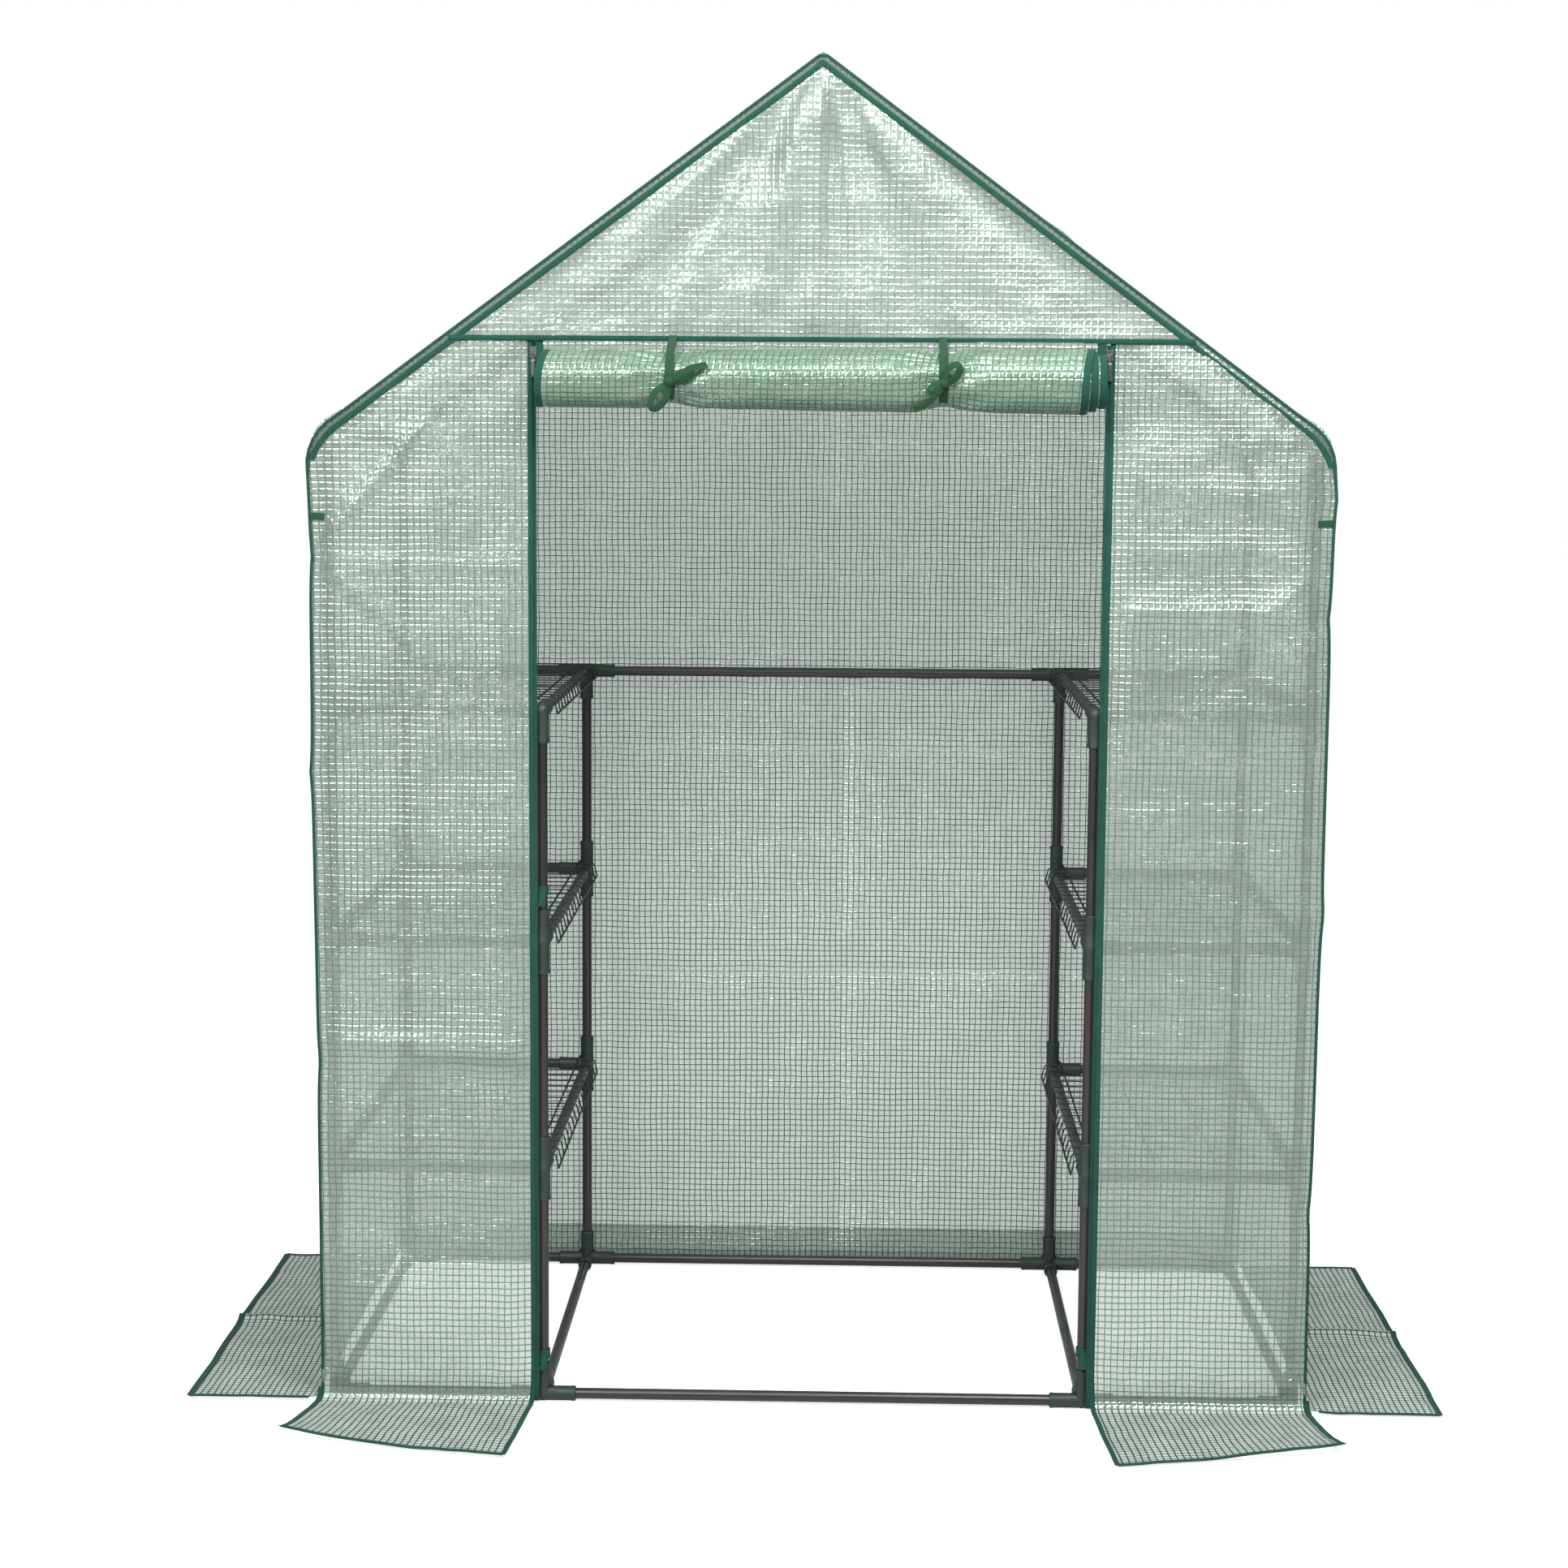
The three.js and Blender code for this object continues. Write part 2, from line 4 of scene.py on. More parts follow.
import bpy
import numpy as np
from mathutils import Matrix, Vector


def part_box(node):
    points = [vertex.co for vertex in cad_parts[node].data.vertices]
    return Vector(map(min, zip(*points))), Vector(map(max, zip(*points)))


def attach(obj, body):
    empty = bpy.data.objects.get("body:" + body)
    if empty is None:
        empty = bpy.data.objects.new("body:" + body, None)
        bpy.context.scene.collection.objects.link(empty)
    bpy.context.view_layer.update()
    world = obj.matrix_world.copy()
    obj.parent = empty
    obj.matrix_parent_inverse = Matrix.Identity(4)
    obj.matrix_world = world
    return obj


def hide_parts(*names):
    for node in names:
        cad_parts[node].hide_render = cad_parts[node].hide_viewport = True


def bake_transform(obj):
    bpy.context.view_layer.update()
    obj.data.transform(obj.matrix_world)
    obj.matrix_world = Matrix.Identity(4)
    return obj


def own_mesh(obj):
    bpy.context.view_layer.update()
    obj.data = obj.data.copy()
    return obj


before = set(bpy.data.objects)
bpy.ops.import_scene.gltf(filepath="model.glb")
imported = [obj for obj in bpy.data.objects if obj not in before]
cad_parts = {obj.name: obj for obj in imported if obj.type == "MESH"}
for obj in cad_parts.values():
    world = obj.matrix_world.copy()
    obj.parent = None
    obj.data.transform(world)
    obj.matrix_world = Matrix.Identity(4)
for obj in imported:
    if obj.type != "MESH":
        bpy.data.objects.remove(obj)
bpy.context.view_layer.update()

# ---- sizes, read from the frame

SIDES = {"left": -1, "right": 1}
ENDS = {"front": -1, "back": 1}
LEVELS = ["base", "tier_1", "tier_2", "tier_3"]


def low(node):
    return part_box(node)[0]


def high(node):
    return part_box(node)[1]


def middle(node):
    return (low(node) + high(node)) / 2


TUBE_R = (high("ridge_rail").z - low("ridge_rail").z) / 2
# The joints' sockets, the round of the eaves and the bend of the elbows, as the CAD has them.
SOCKET_R = 0.011
SOCKET_REACH = 0.047
SOCKET_FLOOR = 0.009
EAVE_R = 0.075
ELBOW_R = 0.060
OUTER_X = middle("right_outer_rail_base").x
INNER_X = middle("right_inner_rail_base").x
POST_Y = high("left_back_rack_end").y - SOCKET_R
LEVEL_Z = [middle(f"right_inner_rail_{name}").z for name in LEVELS]
TOP_Z = LEVEL_Z[-1]
RIDGE_AXIS_Z = middle("ridge_rail").z

COVER_X = high("cover_back").x
WALL_Y = high("cover_right_side").y
FRONT_Y = low("cover_front_gable").y
BACK_Y = -FRONT_Y
RIDGE_Z = high("cover_back").z
HEM_Z = low("cover_front_gable").z
DOOR_X = low("cover_front_right").x
SKIRT_X = high("cover_right_side").x
SKIRT_Y = high("cover_back").y
PITCH = math.atan((RIDGE_Z - HEM_Z) / high("cover_front_gable").x)
EAVE_BEND = math.pi / 2 - PITCH

EAVE_TANGENT = EAVE_R * math.tan(EAVE_BEND / 2)
CORNER_Z = RIDGE_Z - COVER_X * math.tan(PITCH)
SHELL_RUN = COVER_X / math.cos(PITCH) + CORNER_Z - 2 * EAVE_TANGENT + EAVE_R * EAVE_BEND
ROLL = middle("door_roll")
ROLL_END = high("door_roll").x
ROLL_R = (high("door_roll").z - low("door_roll").z) / 2


# ---- camera, light and floor

def linked(name, data):
    made = bpy.data.objects.new(name, data)
    bpy.context.scene.collection.objects.link(made)
    return made


def add_camera():
    data = bpy.data.cameras.new("camera")
    data.sensor_width = 36.0
    data.lens = 65.8
    data.clip_end = 60.0
    camera = linked("camera", data)
    camera.location = (0.044, -4.422, 1.413)
    down, turn, roll = math.radians(6.94), math.radians(1.34), math.radians(-0.41)
    camera.rotation_mode = "XYZ"
    camera.rotation_euler = (math.pi / 2 - down, roll, turn)
    bpy.context.scene.camera = camera


def add_area(name, place, target, size, power):
    data = bpy.data.lights.new(name, "AREA")
    data.shape = "RECTANGLE"
    data.size, data.size_y = size
    data.energy = power
    lamp = linked(name, data)
    lamp.location = place
    way = Vector(target) - Vector(place)
    lamp.rotation_euler = way.to_track_quat("-Z", "Y").to_euler()
    lamp.visible_camera = False


def add_studio():
    """Soft light, on white paper that only the camera sees as pure white."""
    scene = bpy.context.scene
    scene.view_settings.view_transform = "Standard"
    world = bpy.data.worlds.new("studio")
    world.use_nodes = True
    nodes, links = world.node_tree.nodes, world.node_tree.links
    paper = nodes["Background"]
    paper.inputs["Color"].default_value = (1, 1, 1, 1)
    dim = nodes.new("ShaderNodeBackground")
    dim.inputs["Color"].default_value = (0.94, 0.98, 1.0, 1)
    dim.inputs["Strength"].default_value = 0.42
    seen = nodes.new("ShaderNodeLightPath").outputs["Is Camera Ray"]
    either = nodes.new("ShaderNodeMixShader")
    links.new(seen, either.inputs[0])
    links.new(dim.outputs[0], either.inputs[1])
    links.new(paper.outputs[0], either.inputs[2])
    links.new(either.outputs[0], nodes["World Output"].inputs["Surface"])
    scene.world = world
    add_area("key", (-1.7, -3.4, 3.3), (-0.1, -0.3, 1.5), (2.4, 1.6), 150)
    add_area("boom", (0.9, -2.2, 3.3), (0.25, -0.3, 1.6), (1.4, 1.0), 100)
    add_area("top", (0.2, 0.4, 5.0), (0, 0, 0.8), (3.0, 3.0), 60)
    floor_mesh = bpy.data.meshes.new("floor")
    reach = 30.0
    corners = [(-reach, -reach, 0), (reach, -reach, 0), (reach, reach, 0), (-reach, reach, 0)]
    floor_mesh.from_pydata(corners, [], [(0, 1, 2, 3)])
    floor = linked("floor", floor_mesh)
    floor.location.z = -0.0005
    paper = Tree("floor_paper")
    paper.set(Base_Color=(0.72, 0.72, 0.72, 1), Roughness=0.9, Specular_IOR_Level=0.0)
    glow = paper.node("ShaderNodeEmission", {"Color": (1, 1, 1, 1), "Strength": 0.72}).outputs[0]
    lit = paper.node("ShaderNodeAddShader", {0: paper.shader.outputs[0], 1: glow}).outputs[0]
    seen = paper.node("ShaderNodeLightPath").outputs["Is Camera Ray"]
    shown = paper.node("ShaderNodeMixShader", {0: seen, 1: paper.shader.outputs[0], 2: lit})
    paper.links.new(shown.outputs[0], paper.output.inputs["Surface"])
    floor_mesh.materials.append(paper.material)


# ---- node helpers

class Tree:
    """A short way to lay shader nodes."""

    def __init__(self, name):
        self.material = bpy.data.materials.new(name)
        self.material.use_nodes = True
        self.nodes = self.material.node_tree.nodes
        self.links = self.material.node_tree.links
        self.shader = self.nodes["Principled BSDF"]
        self.output = self.nodes["Material Output"]

    def node(self, kind, values=(), **settings):
        made = self.nodes.new(kind)
        for key, value in settings.items():
            setattr(made, key, value)
        for index, value in dict(values).items():
            if isinstance(value, bpy.types.NodeSocket):
                self.links.new(value, made.inputs[index])
            else:
                made.inputs[index].default_value = value
        return made

    def maths(self, operation, a, b=0.0, c=0.0):
        return self.node("ShaderNodeMath", {0: a, 1: b, 2: c}, operation=operation).outputs[0]

    def times(self, a, b):
        return self.maths("MULTIPLY", a, b)

    def between(self, value, start, end, to_start=0.0, to_end=1.0):
        """value mapped smoothly from start..end to to_start..to_end."""
        values = {0: value, 1: start, 2: end, 3: to_start, 4: to_end}
        return self.node("ShaderNodeMapRange", values, interpolation_type="SMOOTHSTEP").outputs[0]

    def mix(self, share, first, second):
        values = {0: share, 6: first, 7: second}
        return self.node("ShaderNodeMix", values, data_type="RGBA").outputs[2]

    def noise(self, vector, scale, detail=2.0, rough=0.5):
        values = {"Vector": vector, "Scale": scale, "Detail": detail, "Roughness": rough}
        return self.node("ShaderNodeTexNoise", values).outputs["Fac"]

    def bump(self, height, distance, strength=1.0):
        values = {"Height": height, "Distance": distance, "Strength": strength}
        return self.node("ShaderNodeBump", values).outputs[0]

    def set(self, **values):
        """Values for the Principled shader, its sockets' spaces written as underscores."""
        for key, value in values.items():
            socket = self.shader.inputs[key.replace("_", " ")]
            if isinstance(value, bpy.types.NodeSocket):
                self.links.new(value, socket)
            else:
                socket.default_value = value


def colour(red, green, blue):
    """A linear colour from 8-bit display values."""
    def linear(value):
        share = value / 255
        return share / 12.92 if share <= 0.04045 else ((share + 0.055) / 1.055) ** 2.4
    return (linear(red), linear(green), linear(blue), 1.0)


# ---- materials

def mottled(name, dark, light, scale, gloss, grain=None, **values):
    """A coated surface whose colour and roughness change slowly. gloss is its least and
    greatest roughness, and grain is the scale, depth and strength of its bumps."""
    tree = Tree(name)
    place = tree.node("ShaderNodeTexCoord").outputs["Object"]
    cloud = tree.noise(place, scale, 3.0)
    tree.set(
        Base_Color=tree.mix(cloud, dark, light),
        Roughness=tree.between(cloud, 0.3, 0.7, *gloss),
        **values,
    )
    if grain:
        fine, depth, strength = grain
        tree.set(Normal=tree.bump(tree.noise(place, fine), depth, strength))
    return tree.material


RIB = 0.0009


def woven_ribbon(name, dark, light):
    """Grosgrain tape: ribs along both object axes, a little shine, and slow colour change."""
    tree = Tree(name)
    place = tree.node("ShaderNodeTexCoord").outputs["Object"]
    parts = tree.node("ShaderNodeSeparateXYZ", {0: place})
    turns = 2 * math.pi / RIB
    waves = [tree.maths("SINE", tree.times(axis, turns)) for axis in parts.outputs]
    weave = tree.maths("ADD", tree.times(waves[0], waves[2]), waves[1])
    cloud = tree.noise(place, 45.0, 3.0)
    tree.set(
        Base_Color=tree.mix(cloud, dark, light),
        Roughness=0.80,
        Specular_IOR_Level=0.25,
        Sheen_Weight=0.04,
        Normal=tree.bump(weave, 0.0002, 0.5),
    )
    return tree.material


# The film's threads: their spacing and their width.
GRID = 0.0095
THREAD = 0.0013
CLEAR_TINT = (0.75, 0.80, 0.765, 1.0)
SKIRT_THREAD = colour(48, 78, 60)
HEM_TONE = colour(96, 116, 100)
SKIRT_TONE = colour(232, 240, 233)


def film(name, film_colour, thread_colour, open_share, painted_glint_strength, skirt=None, hem=None,
         painted_fold_glints=(), placed_by="uv"):
    """Mesh-reinforced film: green threads laid in a square grid between two glossy skins,
    each cell puckered, its crinkles catching the lamps, and small bright highlights painted
    into its colour in patches. skirt is the distance along the cloth beyond which it lies on the
    ground, soiled, with darker threads, and less see-through, which stands in for the shade on
    the floor below. hem is the distance across it beyond which it is folded double, and
    painted_fold_glints the heights of sharp folds along which highlights are painted all the way
    across."""
    tree = Tree(name)
    if placed_by == "uv":
        place = tree.node("ShaderNodeUVMap", uv_map="cloth").outputs[0]
    else:
        place = tree.node("ShaderNodeTexCoord").outputs["Object"]
    parts = tree.node("ShaderNodeSeparateXYZ", {0: place}).outputs
    across, up = parts[0], parts[1 if placed_by == "uv" else 2]
    flat = tree.node("ShaderNodeCombineXYZ", {0: across, 1: up}).outputs[0]
    wobble = tree.times(tree.noise(flat, 14.0, 2.0), GRID * 0.5)
    across_cell = tree.maths("DIVIDE", tree.maths("ADD", across, wobble), GRID)
    up_cell = tree.maths("DIVIDE", tree.maths("ADD", up, wobble), GRID)
    half = THREAD / GRID / 2
    lying = None
    if skirt is not None:
        reach = tree.times(up, -1.0) if skirt == 0 else tree.maths("ABSOLUTE", up)
        lying = tree.between(reach, skirt - 0.012, skirt + 0.012)
    masks, domes = [], []
    for cell in (across_cell, up_cell):
        off = tree.maths("PINGPONG", cell, 0.5)
        if lying is not None:
            off = tree.maths("DIVIDE", off, tree.between(lying, 0.0, 1.0, 1.0, 1.5))
        masks.append(tree.between(off, half * 0.7, half * 1.5, 1.0, 0.0))
        domes.append(tree.between(off, 0.0, half * 4.0, 1.0, 0.0))
    threads = tree.maths("MAXIMUM", masks[0], masks[1])
    # Each cell's own random value, and a slow drift that gathers the painted highlights in patches.
    whole = [tree.maths("FLOOR", cell) for cell in (across_cell, up_cell)]
    cell_id = tree.node("ShaderNodeCombineXYZ", {0: whole[0], 1: whole[1]}).outputs[0]
    chance = tree.node("ShaderNodeTexWhiteNoise", {"Vector": cell_id}, noise_dimensions="2D")
    streaks = tree.node("ShaderNodeMapping", {"Vector": flat, "Scale": (7.0, 13.0, 1.0)})
    patch = tree.between(tree.noise(streaks.outputs[0], 1.0, 5.0, 0.62), 0.36, 0.64)
    speckle = tree.between(tree.noise(flat, 430.0, 2.0, 0.6), 0.48, 0.62)
    lit = tree.times(patch, tree.between(chance.outputs[0], 0.2, 0.8))
    painted_glints = tree.times(tree.times(lit, speckle), painted_glint_strength)
    cloud = tree.noise(flat, 3.0, 3.0)
    skin = tree.mix(cloud, film_colour, tuple(min(1, c * 1.14) for c in film_colour[:3]) + (1,))
    rough = tree.between(threads, 0.0, 1.0, 0.19, 0.38)
    if skirt == 0:
        # The painted highlights thin out towards the foot of a wall, which the lamps light less than
        # its head.
        painted_glints = tree.times(painted_glints, tree.between(up, 0.2, 1.3, 0.25, 1.0))
    # Painted highlights along each fold height, all the way across.
    for fold in painted_fold_glints:
        off = tree.maths("SUBTRACT", tree.maths("ADD", up, wobble), fold)
        painted_fold_band = tree.between(tree.maths("ABSOLUTE", off), 0.002, 0.012, painted_glint_strength, 0.0)
        painted_glints = tree.maths("MAXIMUM", painted_glints, tree.times(painted_fold_band, speckle))
    if lying is not None:
        thread_colour = tree.mix(lying, thread_colour, SKIRT_THREAD)
        grime = tree.between(tree.noise(flat, 22.0, 4.0, 0.6), 0.35, 0.7)
        dusty = tree.mix(grime, SKIRT_TONE, tuple(c * 0.8 for c in SKIRT_TONE[:3]) + (1,))
        skin = tree.mix(lying, skin, dusty)
        painted_glints = tree.times(painted_glints, tree.between(lying, 0.0, 1.0, 1.0, 0.12))
        rough = tree.maths("MAXIMUM", rough, tree.between(lying, 0.0, 1.0, 0.0, 0.62))
    base = tree.mix(threads, skin, thread_colour)
    if hem is not None:
        doubled = tree.between(tree.maths("ABSOLUTE", across), hem - 0.002, hem + 0.002)
        base = tree.mix(tree.times(doubled, 0.85), base, HEM_TONE)
        painted_glints = tree.times(painted_glints, tree.maths("SUBTRACT", 1.0, doubled))
        rough = tree.maths("MAXIMUM", rough, tree.times(doubled, 0.7))
    # Painted highlights: the lit cells' colour turns near white.
    base = tree.mix(painted_glints, base, (0.92, 0.95, 0.93, 1.0))
    pucker = tree.maths("MAXIMUM", domes[0], domes[1])
    crinkle = tree.noise(flat, 120.0, 2.0, 0.5)
    swell = tree.noise(flat, 34.0, 2.0, 0.5)
    height = tree.maths("MULTIPLY_ADD", pucker, 0.20, tree.times(crinkle, 0.34))
    height = tree.maths("MULTIPLY_ADD", swell, 0.75, height)
    tree.set(
        Base_Color=base,
        Roughness=rough,
        Metallic=0.45,
        Specular_IOR_Level=0.8,
        Normal=tree.bump(height, 0.0030, 1.0),
    )
    through = tree.node("ShaderNodeBsdfTranslucent", {"Color": base}).outputs[0]
    body = tree.node("ShaderNodeMixShader", {0: 0.42, 1: tree.shader.outputs[0], 2: through})
    solid = tree.maths("MAXIMUM", threads, painted_glints)
    shut = 1.0 - open_share
    # Lying on the floor, the film lets less of the white floor through: this stands in for the shade
    # on the floor beneath it.
    if lying is not None:
        shut = tree.between(lying, 0.0, 1.0, shut, 0.80)
    closed = tree.between(solid, 0.0, 1.0, shut, 0.98)
    clear = tree.node("ShaderNodeBsdfTransparent", {"Color": CLEAR_TINT}).outputs[0]
    see = tree.node("ShaderNodeMixShader", {0: closed, 1: clear, 2: body.outputs[0]})
    tree.links.new(see.outputs[0], tree.output.inputs["Surface"])
    return tree.material


STEEL = mottled("coated_steel", colour(24, 23, 24), colour(38, 35, 36), 9.0, (0.26, 0.40),
                (900.0, 0.00025, 0.5), Specular_IOR_Level=0.6, Coat_Weight=0.15,
                Coat_Roughness=0.2)
PLASTIC = mottled("moulded_plastic", colour(28, 38, 34), colour(42, 55, 49), 30.0, (0.42, 0.58),
                  (1400.0, 0.0003, 0.6))
WIRE = mottled("coated_wire", colour(22, 24, 23), colour(44, 47, 45), 60.0, (0.35, 0.55),
               (800.0, 0.0002, 0.5))
ZIP_METAL = mottled("zip_metal", colour(70, 78, 74), colour(104, 112, 108), 300.0, (0.3, 0.5),
                    Metallic=0.8)
TEAL = woven_ribbon("teal_binding", colour(14, 56, 46), colour(25, 78, 64))
RIBBON = woven_ribbon("green_ribbon", colour(18, 52, 32), colour(34, 78, 50))
ZIP = woven_ribbon("zip_tape", colour(24, 62, 52), colour(36, 84, 70))
FILM_TONE = colour(203, 210, 204)
THREAD_TONE = colour(108, 150, 119)
PALE_THREAD = colour(140, 172, 146)
FRONT_FILM = film("front_film", FILM_TONE, THREAD_TONE, 0.37, 0.75, skirt=0)
GABLE_FILM = film("gable_film", FILM_TONE, PALE_THREAD, 0.26, 0.5)
WALL_FILM = film("wall_film", FILM_TONE, THREAD_TONE, 0.38, 0.5, skirt=SHELL_RUN, hem=WALL_Y)
BACK_FILM = film("back_film", colour(188, 200, 190), colour(66, 92, 73), 0.34, 0.6, skirt=0,
                 painted_fold_glints=(0.505, 0.885))
ROLL_FILM = film("roll_film", colour(158, 182, 166), colour(80, 132, 94), 0.08, 0.5)
STRIP_FILM = film("door_strip_film", FILM_TONE, THREAD_TONE, 0.30, 0.6, placed_by="object")


# ---- mesh helpers

def new_object(name, vertices, faces, material, smooth=True):
    mesh = bpy.data.meshes.new(name)
    mesh.from_pydata([tuple(map(float, v)) for v in vertices], [], faces)
    mesh.validate()
    mesh.materials.append(material)
    made = linked(name, mesh)
    if smooth:
        mesh.shade_smooth()
    return made


def basis(direction):
    """Two unit vectors square to a direction and to each other."""
    along = np.array(direction, float)
    along /= np.linalg.norm(along)
    helper = np.array([0, 0, 1.0]) if abs(along[2]) < 0.9 else np.array([0, 1.0, 0])
    first = np.cross(helper, along)
    first /= np.linalg.norm(first)
    return along, first, np.cross(along, first)


def turned(start, direction, profile, segments=20):
    """Vertices and faces of a profile of (radius, distance) turned round a line. A profile
    that starts and ends on the axis is closed by points there, any other by joining its ends."""
    along, first, second = basis(direction)
    start = np.array(start, float)
    angles = np.linspace(0, 2 * math.pi, segments, endpoint=False)
    ring = np.cos(angles)[:, None] * first + np.sin(angles)[:, None] * second
    vertices, rows = [], []
    for radius, distance in profile:
        centre = start + along * distance
        if radius < 1e-9:
            rows.append([len(vertices)])
            vertices.append(centre)
        else:
            rows.append(list(range(len(vertices), len(vertices) + segments)))
            vertices.extend(centre + ring * radius)
    pairs = list(zip(rows, rows[1:]))
    if len(rows[0]) > 1:
        pairs.append((rows[-1], rows[0]))
    faces = []
    for a, b in pairs:
        for k in range(segments):
            n = (k + 1) % segments
            corners = (a[k % len(a)], a[n % len(a)], b[n % len(b)], b[k % len(b)])
            # A row that is one point gives a triangle.
            faces.append(tuple(dict.fromkeys(corners)))
    return vertices, faces


def merged(parts):
    vertices, faces = [], []
    for part_vertices, part_faces in parts:
        offset = len(vertices)
        vertices.extend(part_vertices)
        faces.extend(tuple(i + offset for i in face) for face in part_faces)
    return vertices, faces


def sharpen(piece, degrees=35):
    """Smooth shading that keeps edges sharper than an angle."""
    piece.data.shade_smooth()
    piece.data.set_sharp_from_angle(angle=math.radians(degrees))


def united(name, parts, material):
    """One closed mesh from overlapping closed ones."""
    made = [new_object(f"{name}_{index}", *part, material) for index, part in enumerate(parts)]
    whole = made[0]
    for other in made[1:]:
        joint = whole.modifiers.new("join", "BOOLEAN")
        joint.operation = "UNION"
        joint.solver = "MANIFOLD"
        joint.object = other
    bpy.context.view_layer.update()
    graph = bpy.context.evaluated_depsgraph_get()
    mesh = bpy.data.meshes.new_from_object(whole.evaluated_get(graph))
    for piece in made:
        bpy.data.objects.remove(piece)
    mesh.materials.clear()
    mesh.materials.append(material)
    result = linked(name, mesh)
    sharpen(result)
    return result


def finish_piece(piece, body, slot, *nodes):
    """Puts a piece on its body, in the place of the nodes it stands for; slot is not used."""
    if nodes:
        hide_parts(*nodes)
    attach(piece, body)


def add_ribbon(name, swept_parts, body="frame", *nodes, material=None):
    """A piece of ribbon with crisp edges, from one or more sweeps."""
    made = new_object(name, *merged(swept_parts), material or TEAL)
    sharpen(made, 60)
    finish_piece(made, body, "ribbon", *nodes)
    return made


# ---- frame tubes and joints

# A tube's wall, and the round of its edge.
WALL = 0.001
LIP = 0.0006


def add_tube(name, start, end, *nodes):
    """A hollow tube between two joint centres, its ends just short of the socket floors."""
    start, end = Vector(start), Vector(end)
    way = (end - start).normalized()
    start = start + way * (SOCKET_FLOOR + LIP)
    length = (end - start).length - SOCKET_FLOOR - LIP
    profile = [
        (TUBE_R, LIP), (TUBE_R, length - LIP), (TUBE_R - LIP, length),
        (TUBE_R - WALL, length), (TUBE_R - WALL, 0), (TUBE_R - LIP, 0),
    ]
    made = new_object(name, *turned(start, way, profile, 24), STEEL)
    sharpen(made)
    finish_piece(made, "frame", "tube", *nodes)


def sleeve(centre, direction):
    """A socket with a rolled rim at its mouth and a slight draft towards the hub."""
    hub, rim = SOCKET_R - 0.0003, SOCKET_R + 0.0002
    bore = TUBE_R + 0.0002
    profile = [
        (0, 0), (hub, 0), (hub, SOCKET_REACH - 0.007), (rim, SOCKET_REACH - 0.005),
        (rim, SOCKET_REACH - 0.001), (rim - 0.0008, SOCKET_REACH), (bore, SOCKET_REACH),
        (bore, SOCKET_FLOOR), (0, SOCKET_FLOOR),
    ]
    return turned(centre, direction, profile, 24)


def ball(centre, radius, rings=10):
    steps = np.linspace(0, math.pi, rings + 1)
    profile = [(radius * math.sin(a), -radius * math.cos(a)) for a in steps]
    profile[0], profile[-1] = (0, -radius), (0, radius)
    return turned(centre, (0, 0, 1), profile, 24)


WEB_REACH = 0.026
WEB_THICK = 0.0028


def web(centre, first, second):
    """A triangular rib that stiffens the corner between two sleeves."""
    first, second = Vector(first).normalized(), Vector(second).normalized()
    side = first.cross(second).normalized() * (WEB_THICK / 2)
    centre = Vector(centre)
    corners = [centre, centre + first * WEB_REACH, centre + second * WEB_REACH]
    vertices = [c + side for c in corners] + [c - side for c in corners]
    faces = [(0, 1, 2), (5, 4, 3), (0, 3, 4, 1), (1, 4, 5, 2), (2, 5, 3, 0)]
    return vertices, faces


def add_joint(name, centre, ways, *nodes):
    """A moulded joint with one sleeve for each way, and a rib in each square corner."""
    parts = [ball(centre, SOCKET_R + 0.0004)] + [sleeve(centre, way) for way in ways]
    for index, first in enumerate(ways):
        for second in ways[index + 1:]:
            if abs(Vector(first).dot(Vector(second))) < 0.2:
                parts.append(web(centre, first, second))
    finish_piece(united(name, parts, PLASTIC), "frame", "joint", *nodes)


def rafter_way(side):
    return Vector((-side * math.cos(PITCH), 0, math.sin(PITCH)))


# The bent part of an elbow runs this far into the sleeve at each end.
ELBOW_LAP = 0.001
ELBOW_TANGENT = ELBOW_R * math.tan(EAVE_BEND / 2)
EAVE_CORNER_Z = RIDGE_AXIS_Z - OUTER_X * math.tan(PITCH)


def elbow_bend(side, y, steps=8):
    foot = Vector((side * OUTER_X, y, EAVE_CORNER_Z - ELBOW_TANGENT))
    points = []
    for angle in np.linspace(0, EAVE_BEND, steps + 1):
        inwards = ELBOW_R * (1 - math.cos(angle))
        points.append(foot + Vector((-side * inwards, 0, ELBOW_R * math.sin(angle))))
    return points


def swept(points, section, sideways):
    """A section of (across, up) points swept along a route. sideways, one vector for all or
    one for each point, is the direction of across. Ends are closed by flat caps."""
    points = np.array([tuple(p) for p in points], float)
    tangents = np.gradient(points, axis=0)
    tangents /= np.linalg.norm(tangents, axis=1)[:, None]
    sideways = np.broadcast_to(np.array(sideways, float), points.shape).copy()
    sideways -= (sideways * tangents).sum(1)[:, None] * tangents
    sideways /= np.linalg.norm(sideways, axis=1)[:, None]
    upwards = np.cross(tangents, sideways)
    section = np.array(section, float)
    count = len(section)
    rows = (points[:, None] + sideways[:, None] * section[None, :, 0, None]
            + upwards[:, None] * section[None, :, 1, None])
    vertices = rows.reshape(-1, 3)
    faces = []
    for a in range(0, len(vertices) - count, count):
        for k in range(count):
            n = (k + 1) % count
            faces.append((a + k, a + n, a + count + n, a + count + k))
    faces.append(tuple(range(count))[::-1])
    faces.append(tuple(range(len(vertices) - count, len(vertices))))
    return list(vertices), faces


def circle(radius, count=24):
    angles = np.linspace(0, 2 * math.pi, count, endpoint=False)
    return [(radius * math.cos(a), radius * math.sin(a)) for a in angles]


